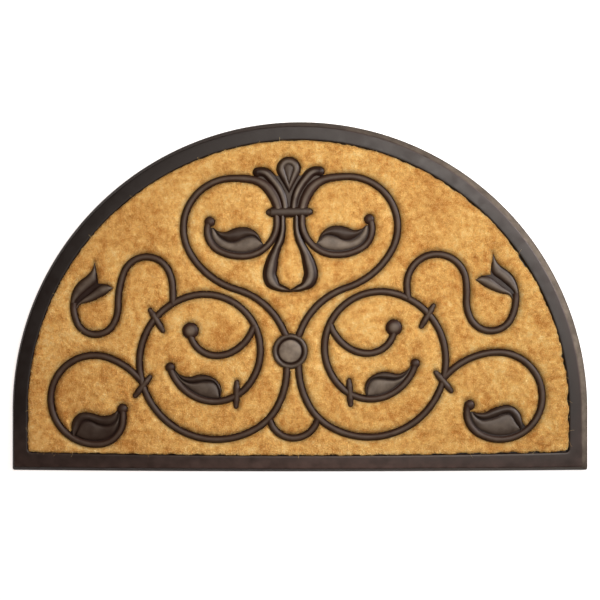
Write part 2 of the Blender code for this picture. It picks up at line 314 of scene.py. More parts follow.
def on_mat(points: np.ndarray, side: Side, axis: float = 0.0) -> np.ndarray:
    """Place points of the ornament's right half on the mat.

    Args:
        points: an array whose last axis starts with x and y.
        side: the half that they are placed in.
        axis: the line about which the halves are mirrored.

    Returns:
        The placed points, with their other values as they were.
    """
    turn = math.radians(ORNAMENT_TURN)
    placed = np.array(points, dtype=float)
    x, y = placed[..., 0] * side.value + axis, placed[..., 1].copy()
    placed[..., 0] = ORNAMENT_CENTRE[0] + x * math.cos(turn) - y * math.sin(turn)
    placed[..., 1] = ORNAMENT_CENTRE[1] + x * math.sin(turn) + y * math.cos(turn)
    return placed


@dataclass(frozen=True)
class Arc:
    """One stretch of a route: its radius, its sweep, positive to the left, and the width at its end."""

    radius: float
    sweep: float
    width: float = BAR_WIDTH


@dataclass(frozen=True)
class Route:
    """A bar's middle line, or a leaf's edge: start, first heading, stretches, first width and mirror line."""

    start: tuple[float, float]
    heading: float
    arcs: tuple[Arc, ...]
    width: float = BAR_WIDTH
    axis: float = 0.0

    def stations(self, length: float = 3.0, turn: float = 6.0) -> np.ndarray:
        """Walk along the route.

        Args:
            length: the longest step.
            turn: the most that one step turns, in degrees.

        Returns:
            A row for each step: x, y, heading in radians, and width.
        """
        x, y = self.start
        heading = math.radians(self.heading)
        width = self.width
        rows = [(x, y, heading, width)]
        for arc in self.arcs:
            sweep = math.radians(arc.sweep)
            steps = math.ceil(max(abs(arc.sweep) / turn, abs(sweep) * arc.radius / length, 2))
            radius = math.copysign(arc.radius, arc.sweep)
            centre_x, centre_y = x - radius * math.sin(heading), y + radius * math.cos(heading)
            for share in np.arange(1, steps + 1) / steps:
                a = heading + sweep * share
                eased = share * share * (3 - 2 * share)
                rows.append((centre_x + radius * math.sin(a), centre_y - radius * math.cos(a), a,
                             width + (arc.width - width) * eased))
            heading += sweep
            x, y = rows[-1][:2]
            width = arc.width
        return np.array(rows)

    def line(self) -> np.ndarray:
        """Give only the points of the route."""
        return self.stations()[:, :2]

    def sides(self, extra: float) -> tuple[np.ndarray, np.ndarray]:
        """Draw both sides of the bar.

        Args:
            extra: how much wider and longer it is drawn at each side and end.

        Returns:
            The points along its right side and along its left side.
        """
        rows = self.stations()
        ahead, left = ahead_and_left(rows[:, 2])
        centre = rows[:, :2].copy()
        centre[0] -= ahead[0] * extra
        centre[-1] += ahead[-1] * extra
        out = left * (rows[:, 3:] / 2 + extra)
        return centre - out, centre + out

    def swept(self, section: Section, lift: float) -> np.ndarray:
        """Sweep a bar's cross-section along the route.

        Args:
            section: the shape of its top.
            lift: how much higher than others it stands.

        Returns:
            Loops of points, one for each station.
        """
        rows = self.stations()
        shoulder = BAR_SHOULDER + lift
        profile = crown_profile(section, shoulder, BAR_RIDGE + lift)
        _, left = ahead_and_left(rows[:, 2])
        drawn_in = BAR_FLANK * (profile[:, 1] >= shoulder)
        out = profile[:, 0] * (rows[:, 3:] / 2 - drawn_in)
        flat = rows[:, None, :2] + left[:, None, :] * out[:, :, None]
        heights = np.broadcast_to(profile[:, 1:], (*flat.shape[:2], 1))
        return np.concatenate([flat, heights], axis=2)


def crown_profile(section: Section, shoulder: float, ridge: float, steps: int = 12) -> np.ndarray:
    """Draw the cross-section of a bar.

    Args:
        section: the shape of its top.
        shoulder: the height at which its upright sides end.
        ridge: the height of its top.
        steps: how many pieces the top is cut into.

    Returns:
        Rows of the share of the half width and the height, with both feet in the floor.
    """
    angles = math.pi * np.arange(steps + 1) / steps
    share = -np.cos(angles)
    if section is Section.ROUND:
        rise = np.sin(angles)
    else:
        rise = np.interp(np.abs(share), RIDGE_SHARES, RIDGE_RISES)
    top = np.stack([share, shoulder + (ridge - shoulder) * rise], axis=1)
    foot = shoulder - BAR_DRAFT
    return np.concatenate([[[-1.0, ROOT], [-1.0, foot]], top, [[1.0, foot], [1.0, ROOT]]])


def ridge_highlight(section: Section, most: float) -> np.ndarray:
    """Give the painted highlight at each point of a bar's cross-section: most on its ridge.

    Args:
        section: the shape of its top.
        most: how pale the ridge is painted.

    Returns:
        The dust at each point.
    """
    share = crown_profile(section, BAR_SHOULDER, BAR_RIDGE)[:, 0]
    # The painted highlight reaches further down a round top than down a ridge's slopes
    reach = 0.75 if section is Section.ROUND else 0.5
    return most * np.clip(1.0 - (share / reach) ** 2, 0.0, 1.0)


@dataclass(frozen=True)
class Leaf:
    """A leaf beside a bar: a blade from the bar to its vein, painted pale as a highlight, and a raised roll
    along its free edge.
    """

    bar: Route
    edge: Route
    vein: tuple[tuple[float, float], ...]
    dust_and_highlight: float
    channel: float = 1.2
    groove: float = 0.7
    steps: int = 56
    low: float = 7.0
    plate_drop: float = 0.4
    blade_rise: float = 2.7
    blade_fullness: float = 0.3
    roll_rise: float = 3.5
    roll_fullness: float = 0.75
    full_width: float = 4.5
    least_width: float = 0.4

    def rails(self) -> tuple[np.ndarray, np.ndarray, np.ndarray]:
        """Give the bar's middle line beside the leaf, the vein and the free edge, as many points each."""
        edge, line = self.edge.line(), self.bar.line()
        first, last = (int(np.argmin(np.linalg.norm(line - end, axis=1))) for end in (edge[0], edge[-1]))
        beside = resampled(line[first:last + 1], self.steps)
        return beside, smooth_line(self.vein, self.steps), resampled(edge, self.steps)

    def outline(self) -> np.ndarray:
        """Give the leaf's outline: its free edge, and back along the middle of its bar."""
        inner, _, outer = self.rails()
        return np.concatenate([outer, inner[::-1]])

    def shells(self) -> list[tuple[np.ndarray, np.ndarray]]:
        """Draw the blade and the roll, each as its cross-sections and the painted highlight at their points.
        """
        inner, vein, outer = self.rails()
        shells = []
        for near_rail, far_rail, section in ((inner, vein, self.blade), (vein, outer, self.roll)):
            loops, dust_and_highlight = [], []
            for near, far in zip(near_rail, far_rail):
                rows = section(max(float(np.linalg.norm(far - near)), self.least_width))
                loops.append(cross_loop(near, far, rows))
                dust_and_highlight.append(np.concatenate([[0.0], rows[:, 2], [0.0]]))
            shells.append((np.array(loops), np.array(dust_and_highlight)))
        return shells

    def blade(self, wide: float) -> np.ndarray:
        """Draw the blade's cross-section.

        Args:
            wide: how wide it is, from the bar's middle to the vein.

        Returns:
            Rows of the share of the width, the height, and the painted highlight there.
        """
        # Where the leaf is narrow, the bar and the channel beside it take no more than a share of its width
        covered = min(BAR_WIDTH / 2, 0.6 * wide)
        start = covered + min(self.channel, 0.2 * (wide - covered))
        width = max(wide - self.groove - start, 0.1)
        rows = [(0.0, self.low + 1.0, 0.0), (covered * 0.9, self.low, 0.0)]
        rows += self.swelling(start, width, self.blade_rise, self.blade_fullness, self.dust_and_highlight)
        rows.append((wide, self.low, 0.0))
        return np.array(rows) / np.array([wide, 1.0, 1.0])

    def roll(self, wide: float) -> np.ndarray:
        """Draw the roll's cross-section.

        Args:
            wide: how wide it is, from the vein to the free edge.

        Returns:
            Rows of the share of the width, the height, and the painted highlight there.
        """
        groove = min(self.groove, 0.25 * wide)
        top = self.swelling(groove, wide - groove, self.roll_rise, self.roll_fullness, ROLL_HIGHLIGHT)
        return np.array([(0.0, self.low, 0.0), *top]) / np.array([wide, 1.0, 1.0])

    def swelling(self, start: float, width: float, rise: float, fullness: float, dust_and_highlight: float,
                 steps: int = 12) -> list[tuple[float, float, float]]:
        """Draw one swelling of the cross-section, lower where it is narrow.

        Args:
            start: where it starts.
            width: how wide it is.
            rise: how far it rises.
            fullness: how square its top is: 1 is a plain arch, and less is flatter with steeper sides.
            dust_and_highlight: how pale its top is painted, as a highlight.
            steps: how many pieces it is cut into.

        Returns:
            Rows of the place, the height, and the painted highlight there.
        """
        rise *= min(width / self.full_width, 1.0)
        shares = 0.5 - 0.5 * np.cos(np.linspace(0, math.pi, steps + 1))
        arch = np.sin(math.pi * shares) ** fullness
        return [(start + width * share, self.low + rise * height, dust_and_highlight * height)
                for share, height in zip(shares, arch)]


@dataclass(frozen=True)
class Ball:
    """The round end of a bar, and the line about which it is mirrored."""

    x: float
    y: float
    radius: float
    top: float = 11.2
    axis: float = 0.0
    dust_and_highlight: float = BALL_HIGHLIGHT
    highlight_reach: float = 0.7
    arch_steps: int = 20
    steps: int = 28

    def profile(self, section: Section = Section.ROUND) -> np.ndarray:
        """Give the ball's turned profile: rows of radius, height and painted highlight.

        Args:
            section: the shape of the bar that it ends.

        Returns:
            The rows, from its foot in the floor to just beside the middle of its top.
        """
        rows = crown_profile(section, BAR_SHOULDER, self.top, self.arch_steps)[:self.arch_steps // 2 + 2]
        share = -rows[:, 0]
        # The top of the ball is painted pale as a highlight
        pale_share = self.dust_and_highlight * np.clip(1.0 - (share / self.highlight_reach) ** 2, 0.0, 1.0)
        return np.column_stack([self.radius * share, rows[:, 1], pale_share])

    def outline(self) -> np.ndarray:
        """Give the ball's outline, anticlockwise."""
        return circle(self.x, self.y, self.radius, self.steps)


@dataclass(frozen=True)
class Collar:
    """A short tie across a bar, with round ends."""

    x: float
    y: float
    heading: float
    length: float = 38.0
    width: float = 8.4
    top: float = 11.3
    waist: float = 0.22
    knob: float = 7.0
    knob_drop: float = 0.9
    neck: float = 2.0
    fullness: float = 0.8

    def places(self) -> np.ndarray:
        """Give rows along the collar: the place, and the half width there."""
        half = self.length / 2
        end = self.width / 2
        angles = np.radians(np.arange(8, 90, 12))
        tips = np.stack([half - end + end * np.cos(angles), end * np.sin(angles)], axis=1)
        middle = np.array([(x, end) for x in np.linspace(-half + end, half - end, 13)])
        rows = np.concatenate([tips * [-1, 1], middle, tips[::-1]])
        past_neck = np.clip((np.abs(rows[:, 0]) - (half - self.knob)) / self.neck + 0.5, 0.0, 1.0)
        rows[:, 1] *= 1 - self.waist * past_neck
        return rows

    def loops(self) -> np.ndarray:
        """Give the collar's cross-sections, one for each place along it."""
        ahead, left = ahead_and_left(math.radians(self.heading))
        loops = []
        for x, half_width in self.places():
            rise = (self.top - BAR_SHOULDER) * (half_width / (self.width / 2)) ** self.fullness
            rise -= self.knob_drop * (abs(x) > self.length / 2 - self.knob)
            profile = crown_profile(Section.ROUND, BAR_SHOULDER, BAR_SHOULDER + rise)
            flat = np.array([self.x, self.y]) + ahead * x + left * half_width * profile[:, :1]
            loops.append(np.concatenate([flat, profile[:, 1:]], axis=1))
        return np.array(loops)

    def outline(self) -> np.ndarray:
        """Give the collar's outline, anticlockwise."""
        ahead, left = ahead_and_left(math.radians(self.heading))
        rows = self.places()
        lower = ahead * rows[:, :1] - left * rows[:, 1:]
        upper = ahead * rows[::-1, :1] + left * rows[::-1, 1:]
        return np.array([self.x, self.y]) + np.concatenate([lower, upper])


@dataclass(frozen=True)
class Bud:
    """The bud at the end of an upper tendril, drawn from that end: two blades with a groove between them."""

    back: Route = Route((4.7, -8), 90, (Arc(90, 10), Arc(36, 50), Arc(30, -50)))
    big_tip: tuple[float, float] = (-28.7, 53.3)
    inner_edge: tuple[tuple[float, float], ...] = (
        (1.5, -8), (-4.4, 4), (-18, 16.5), (-30.3, 26.5), (-31.3, 38))
    upper_edge: tuple[tuple[float, float], ...] = (
        (-1.5, -8), (-7.6, 1.8), (-21.6, 12.8), (-34.5, 22.3), (-45, 23.4))
    small_tip: tuple[float, float] = (-52.5, 18.5)
    lower_edge: tuple[tuple[float, float], ...] = (
        (-4.7, -8), (-9, -2), (-20, 0.3), (-31, 4.3), (-42, 10.3))
    notch: tuple[float, float] = (-32.8, 24.5)
    steps: int = 26
    outline_steps: int = 14
    cross_steps: int = 10
    low: float = 6.6
    rise: float = 3.4
    full_width: float = 7.0
    fullness: float = 0.6

    def blades(self) -> list[tuple[np.ndarray, np.ndarray]]:
        """Give the big and the small blade, each as its inner and its outer edge."""
        big = smooth_line((*self.inner_edge, self.big_tip), self.steps)
        upper, lower = (smooth_line((*edge, self.small_tip), self.steps)
                        for edge in (self.upper_edge, self.lower_edge))
        return [(big, resampled(self.back.line(), self.steps)), (upper, lower)]

    def outline(self) -> np.ndarray:
        """Give the bud's outline, from the back of its big blade round to its stem."""
        corners = np.array([self.inner_edge[-1], self.notch, self.upper_edge[-1], self.small_tip])
        below = smooth_line((self.small_tip, *self.lower_edge[::-1]), self.outline_steps)
        return np.concatenate([self.back.line(), corners, below[1:]])


def bars(*rows: tuple) -> tuple[Arc, ...]:
    """Turn rows of radius, sweep and, where it changes, width into arcs."""
    return tuple(Arc(*row) for row in rows)


# Bars that both halves share
HEART = Route((15.5, 182.5), 82.5, bars(
    (60, -27.5, 14), (38, -46, 10.5), (158, -9), (66, -119.5), (105, -43.5), (97, 50), (300, -2)), 13)
RING = Route((7.84, -21), 269.34, bars(
    (300, 0.66), (107, 28), (74, 30), (102, 47), (102, 78), (90, 73), (74, 144), (57, 77), (66, 46)))
INNER_TENDRIL = Route((49.5, 33), 291, bars((150, 3), (59, 38), (44, 32), (35.5, 82)))
HOOK = Route((17.5, 183), 265, bars(
    (300, 2.5), (43, 33), (46, 56), (64, 31), (30, 90)), BAR_WIDTH, CROWN_AXIS)
CUP = Route((31.5, -93.4), 256, bars((32.5, -152)))

# The crown's petals, which are mirrored about its own line
TAIL = Route((9.2, 180), 268.5, bars(
    (400, 2.6, 8), (53, 26, 10.5), (130, -16.5, 18), (20, -40, 18.5), (20, -41, 9.5), (109, -8.5, 3)),
    7.5, CROWN_AXIS)
SIDE_PETAL = Route((5.5, 186), 87, bars(
    (60, -35, 12.5), (200, -3.8, 13.5), (14, -44, 12.5), (30, -8, 12)), 10.5, CROWN_AXIS)
PETAL_END = Ball(41.2, 234.3, 6.3, 10.4, CROWN_AXIS, 0.0)

# The veins of the leaves that both halves share
HOOK_VEIN = ((38.8, 141.8), (46, 148.5), (54, 149.3), (62, 147), (70, 143), (78, 142), (86, 144.8),
             (93.5, 150.5), (99.5, 159.5))
RING_VEIN = ((98.5, -68), (97.5, -59), (98.5, -51.5), (101.5, -45.5), (107, -42), (116, -41.5), (126, -43),
             (134, -43.5), (141.5, -41.5), (148.5, -36.5), (154.5, -27))


@dataclass(frozen=True)
class Half:
    """One half of the ornament, with the outer bars that the halves don't share."""

    side: Side
    upper_tendril: Route
    lower_spiral: Route
    leaf_edge: Route
    leaf_vein: tuple[tuple[float, float], ...]
    leaf_ball: Ball
    # How pale the blades of the hook, ring and spiral leaves are painted as a highlight: more on the right
    # half, which faces the light
    leaf_highlight: tuple[float, float, float] = (0.64, 0.58, 0.32)
    bud: Bud = Bud()

    def scrolls(self) -> list[Route]:
        """Give the bars with a round top."""
        return [HEART, RING, INNER_TENDRIL, HOOK, self.upper_tendril, self.lower_spiral]

    def petals(self) -> list[Route]:
        """Give the crown's tail and side petal, which have a ridge."""
        return [TAIL, SIDE_PETAL]

    def leaves(self) -> list[Leaf]:
        """Give the three leaves."""
        hook_highlight, ring_highlight, spiral_highlight = self.leaf_highlight
        hook_edge = Route((38, 143), 78, bars((24, -76), (38, -30), (17, 76)))
        ring_edge = Route((96, -61), 110, bars((19.5, -69), (30, -60), (21.5, 78)))
        return [Leaf(HOOK, hook_edge, HOOK_VEIN, hook_highlight), Leaf(RING, ring_edge, RING_VEIN, ring_highlight),
                Leaf(self.lower_spiral, self.leaf_edge, self.leaf_vein, spiral_highlight)]

    def balls(self) -> list[Ball]:
        """Give the round ends of bars."""
        return [Ball(105.5, 169.7, 6.8, axis=CROWN_AXIS, dust_and_highlight=SMALL_BALL_HIGHLIGHT), Ball(134.5, 26, 10.8, 11.8),
                Ball(162, -22, 6.3, dust_and_highlight=SMALL_BALL_HIGHLIGHT), self.leaf_ball]

    def collars(self) -> list[Collar]:
        """Give the ties."""
        return [Collar(179, 40.5, 59), Collar(199, -46.5, -51), Collar(75, -59, 93)]

    def bud_place(self) -> np.ndarray:
        """Give the end of the upper tendril, from which the bud is drawn."""
        return self.upper_tendril.line()[-1]


HALVES = (
    Half(Side.RIGHT,
         Route((154.06, 62.97), 97.85, bars(
             (150, -6.85), (42, -32), (39, -141), (113, -13), (51, 30), (30, 129), (62, 31))),
         Route((199, -42), 49, bars((97, -46), (59, -98), (56, -115), (32, -66), (47, -7))),
         Route((302, -101), 87, bars((21, 102), (61, 20), (23, -51))),
         ((300, -113), (294, -103), (289, -94), (283.5, -90.5), (276, -91.5), (269, -94.5), (261, -97),
          (252, -98.5), (245, -96.5), (239.5, -92), (237, -88.5)),
         Ball(233, -78, 6.8, dust_and_highlight=SMALL_BALL_HIGHLIGHT)),
    Half(Side.LEFT,
         Route((157.63, 60.98), 95.86, bars(
             (151, -9.86), (52, -24), (32, -130), (116, -22), (50, 29), (27, 132), (64, 22))),
         Route((201, -39), 52, bars((96, -32), (57, -96), (60, -108), (33, -76), (52, -22))),
         Route((293, -103), 73, bars((18, 113), (58, 15), (25, -66))),
         ((290, -114), (285.5, -104), (282, -95.5), (275.5, -91), (268, -91.5), (262, -94.5), (254, -97.5),
          (245.5, -98), (238, -95), (233, -88.5), (231, -80)),
         Ball(226, -76, 6.8, dust_and_highlight=SMALL_BALL_HIGHLIGHT), (0.54, 0.32, 0.12)),
)


@dataclass
class Draft:
    """Closed shells gathered for one piece, in millimetres, with the dust and painted highlight on each
    point.
    """

    points: list[np.ndarray] = field(default_factory=list)
    faces: list[tuple[int, ...]] = field(default_factory=list)
    dust_and_highlight: list[np.ndarray] = field(default_factory=list)
    count: int = 0
    sharp_angle: float = 40.0

    def skin(self, loops: np.ndarray, dust_and_highlight: np.ndarray | float = 0.0) -> None:
        """Add a closed shell through loops of as many points each, capped at the first and the last.

        Args:
            loops: the loops, as one array of loops, points and coordinates.
            dust_and_highlight: how pale each point is painted, with dust and a painted highlight, as one
                number or one for each point.
        """
        rows, around = loops.shape[:2]
        start = self.count
        self.points.append(loops.reshape(-1, 3))
        self.dust_and_highlight.append(np.broadcast_to(dust_and_highlight, (rows, around)).reshape(-1))
        for row in range(rows - 1):
            base = start + row * around
            for i in range(around):
                j = (i + 1) % around
                self.faces.append((base + i, base + j, base + around + j, base + around + i))
        self.faces.append(tuple(start + i for i in reversed(range(around))))
        self.faces.append(tuple(start + (rows - 1) * around + i for i in range(around)))
        self.count += rows * around

    def plate(self, outline: np.ndarray, top: float, dust_and_highlight: float = 0.0) -> None:
        """Add a low flat plate that stands in the floor.

        Args:
            outline: its outline on the mat.
            top: the height of its top.
            dust_and_highlight: how pale it is painted, with dust and a painted highlight.
        """
        loops = [np.column_stack([outline, np.full(len(outline), height)]) for height in (ROOT, top)]
        self.skin(np.array(loops), dust_and_highlight)

    def turn(self, centre: np.ndarray, profile: np.ndarray, steps: int) -> None:
        """Add a turned shell.

        Args:
            centre: the place of its axis on the mat.
            profile: rows of radius, height, and dust and painted highlight.
            steps: how many pieces it is cut into around its axis.
        """
        ring = circle(0.0, 0.0, 1.0, steps)
        loops = [np.column_stack([centre + ring * radius, np.full(steps, height)])
                 for radius, height, _ in profile]
        self.skin(np.array(loops), profile[:, 2:3])

    def piece(self, name: str, finish: bpy.types.Material) -> bpy.types.Object:
        """Make the piece.

        Args:
            name: its name.
            finish: its material.

        Returns:
            The finished object, which rides on the mat's body.
        """
        mesh = bpy.data.meshes.new(name)
        mesh.from_pydata((np.concatenate(self.points) * MM).tolist(), [], self.faces)
        layer = mesh.attributes.new("dust_and_highlight", "FLOAT", "POINT")
        layer.data.foreach_set("value", np.concatenate(self.dust_and_highlight).astype(np.float32))
        tidy = bmesh.new()
        tidy.from_mesh(mesh)
        bmesh.ops.recalc_face_normals(tidy, faces=tidy.faces)
        tidy.to_mesh(mesh)
        tidy.free()
        mesh.shade_smooth()
        mesh.set_sharp_from_angle(angle=math.radians(self.sharp_angle))
        return placed_piece(name, mesh, finish, ["rubber_moulding"])


def placed_piece(name: str, mesh: bpy.types.Mesh, finish: bpy.types.Material | None,
                 nodes: Iterable[str]) -> bpy.types.Object:
    """Put a finished mesh into the scene and bind it to the frame.

    Args:
        name: the piece's name.
        mesh: its mesh, already in place.
        finish: its material, or none where the mesh has one.
        nodes: the CAD nodes that it stands for.

    Returns:
        The object.
    """
    if finish is not None:
        mesh.materials.clear()
        mesh.materials.append(finish)
    mesh.name = name
    obj = bpy.data.objects.new(name, mesh)
    bpy.context.scene.collection.objects.link(obj)
    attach(obj, "root")
    for node in nodes:
        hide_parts(node)
    triangles = sum(len(polygon.vertices) - 2 for polygon in mesh.polygons)
    LOG.info("%s: %d triangles", name, triangles)
    return obj


def linear(colour: str) -> tuple[float, float, float, float]:
    """Turn an sRGB hex colour into the linear one that shaders take."""
    channels = [int(colour[i:i + 2], 16) / 255 for i in (1, 3, 5)]
    return (*[c / 12.92 if c <= 0.04045 else ((c + 0.055) / 1.055) ** 2.4 for c in channels], 1.0)


def wire(tree: bpy.types.NodeTree, node: bpy.types.Node, *placed: Any, **named: Any) -> None:
    """Give a node's inputs what they read: a value, an output, or a node whose first output is meant.

    Args:
        tree: the node's tree.
        node: the node.
        placed: what its first inputs read, in their order.
        named: what inputs read by their names, with _ for a space.
    """
    live = [socket for socket in node.inputs if socket.enabled]
    pairs = list(zip(live, placed))
    for name, value in named.items():
        pairs.append((next(s for s in live if s.name == name.replace("_", " ")), value))
    for socket, value in pairs:
        if isinstance(value, bpy.types.Node):
            value = next(output for output in value.outputs if output.enabled)
        if isinstance(value, bpy.types.NodeSocket):
            tree.links.new(value, socket)
        else:
            socket.default_value = value


def add_node(tree: bpy.types.NodeTree, kind: str, settings: dict[str, Any], *placed: Any,
             **named: Any) -> bpy.types.Node:
    """Add a node with its settings, values and links.

    Args:
        tree: the tree that it goes into.
        kind: Blender's name for it.
        settings: its properties.
        placed: what its first inputs read, in their order.
        named: what inputs read by their names, with _ for a space.

    Returns:
        The node.
    """
    node = tree.nodes.new(kind)
    for name, value in settings.items():
        setattr(node, name, value)
    wire(tree, node, *placed, **named)
    return node


def new_material(name: str) -> tuple[bpy.types.Material, bpy.types.NodeTree, bpy.types.Node]:
    """Start a material and give it with its tree and its shader."""
    made = bpy.data.materials.new(name)
    made.use_nodes = True
    return made, made.node_tree, made.node_tree.nodes["Principled BSDF"]


@dataclass(frozen=True)
class MouldedRubber:
    """Dark brown rubber compound, pressed in a mould: satin, fine-grained, and paler where it stands out,
    with dust and painted highlights.
    """

    name: str = "moulded rubber, satin with dust and painted highlights"
    specular: float = 0.5
    body: str = "#27160e"
    dust_and_highlight: str = "#8d8274"
    roughness: tuple[float, float] = (0.36, 0.5)
    cover: tuple[float, float] = (0.45, 1.15)
    patch_mm: float = 14.0
    grain_mm: float = 0.9
    grain_depth_mm: float = 0.12
    grain_strength: float = 0.35

    def material(self) -> bpy.types.Material:
        """Make the material."""
        made, tree, shader = new_material(self.name)
        place = add_node(tree, "ShaderNodeTexCoord", {}).outputs["Object"]
        # Dust and the painted highlights come in patches a centimetre or two wide, and feet rub the rubber
        # between them smoother
        patches = add_node(tree, "ShaderNodeTexNoise", {}, Vector=place, Scale=1 / (self.patch_mm * MM),
                           Detail=4.0, Roughness=0.6)
        share, rough = (add_node(tree, "ShaderNodeMapRange", {}, Value=patches, From_Min=0.3, From_Max=0.7,
                                 To_Min=least, To_Max=most) for least, most in (self.cover, self.roughness))
        pale_share = add_node(tree, "ShaderNodeAttribute", {"attribute_name": "dust_and_highlight"}).outputs["Fac"]
        amount = add_node(tree, "ShaderNodeMath", {"operation": "MULTIPLY"}, pale_share, share)
        colour = add_node(tree, "ShaderNodeMix", {"data_type": "RGBA"}, Factor=amount, A=linear(self.body),
                          B=linear(self.dust_and_highlight))
        # The mould's surface is blasted: a grain under a millimetre across, a few hundredths deep
        grain = add_node(tree, "ShaderNodeTexNoise", {}, Vector=place, Scale=1 / (self.grain_mm * MM),
                         Detail=3.0)
        bump = add_node(tree, "ShaderNodeBump", {}, Height=grain, Strength=self.grain_strength,
                        Distance=self.grain_depth_mm * MM)
        wire(tree, shader, Base_Color=colour, Roughness=rough, Specular_IOR_Level=self.specular, Normal=bump)
        return made


@dataclass(frozen=True)
class CoirFibre:
    """Cut coconut fibre: matt, each bristle its own shade from dark brown to straw, in small clumps."""

    name: str
    shade: float = 1.0
    dark: str = "#d19a50"
    middle: str = "#f5d081"
    pale: str = "#fdebb2"
    # The colour of the painted shade beside the rubber
    painted_shade: str = "#6a421c"
    roughness: float = 0.8
    specular: float = 0.25
    clump_mm: float = 8.0
    fleck_mm: float = 1.6
    patch_mm: float = 34.0
    own_weight: float = 0.45
    fleck_weight: float = 0.35
    patch_weight: float = 0.6
    darkest: float = 0.88
    palest: float = 1.51

    def material(self) -> bpy.types.Material:
        """Make the material."""
        made, tree, shader = new_material(self.name)
        place = add_node(tree, "ShaderNodeTexCoord", {}).outputs["Object"]
        clumps = add_node(tree, "ShaderNodeTexNoise", {}, Vector=place, Scale=1 / (self.clump_mm * MM),
                          Detail=3.0, Roughness=0.65)
        # Flecks come from single fibres, and feet and weather leave broad paler and darker patches
        flecks, patches = (add_node(tree, "ShaderNodeTexNoise", {}, Vector=place, Scale=1 / (size * MM),
                                    Detail=2.0) for size in (self.fleck_mm, self.patch_mm))
        own = add_node(tree, "ShaderNodeAttribute", {"attribute_name": "tint"}).outputs["Fac"]
        weights = (self.own_weight, self.fleck_weight, self.patch_weight)
        tone = clumps
        for part, weight in zip((own, flecks, patches), weights):
            tone = add_node(tree, "ShaderNodeMath", {"operation": "MULTIPLY_ADD"}, part, weight, tone)
        spread = add_node(tree, "ShaderNodeMapRange", {}, Value=tone, From_Min=self.darkest,
                          From_Max=self.palest)
        tones = add_node(tree, "ShaderNodeValToRGB", {}, spread)
        tones.color_ramp.elements.new(0.5)
        for stop, colour in zip(tones.color_ramp.elements, (self.dark, self.middle, self.pale)):
            stop.color = (*(self.shade * channel for channel in linear(colour)[:3]), 1.0)
        # Beside the rubber the fibres are darkened with painted shade, for the dip and the gap where the pile
        # meets it
        beside = add_node(tree, "ShaderNodeAttribute", {"attribute_name": "painted_shade"}).outputs["Fac"]
        with_painted_shade = add_node(tree, "ShaderNodeMix", {"data_type": "RGBA"}, Factor=beside, A=tones,
                           B=linear(self.painted_shade))
        wire(tree, shader, Base_Color=with_painted_shade, Roughness=self.roughness, Specular_IOR_Level=self.specular)
        return made


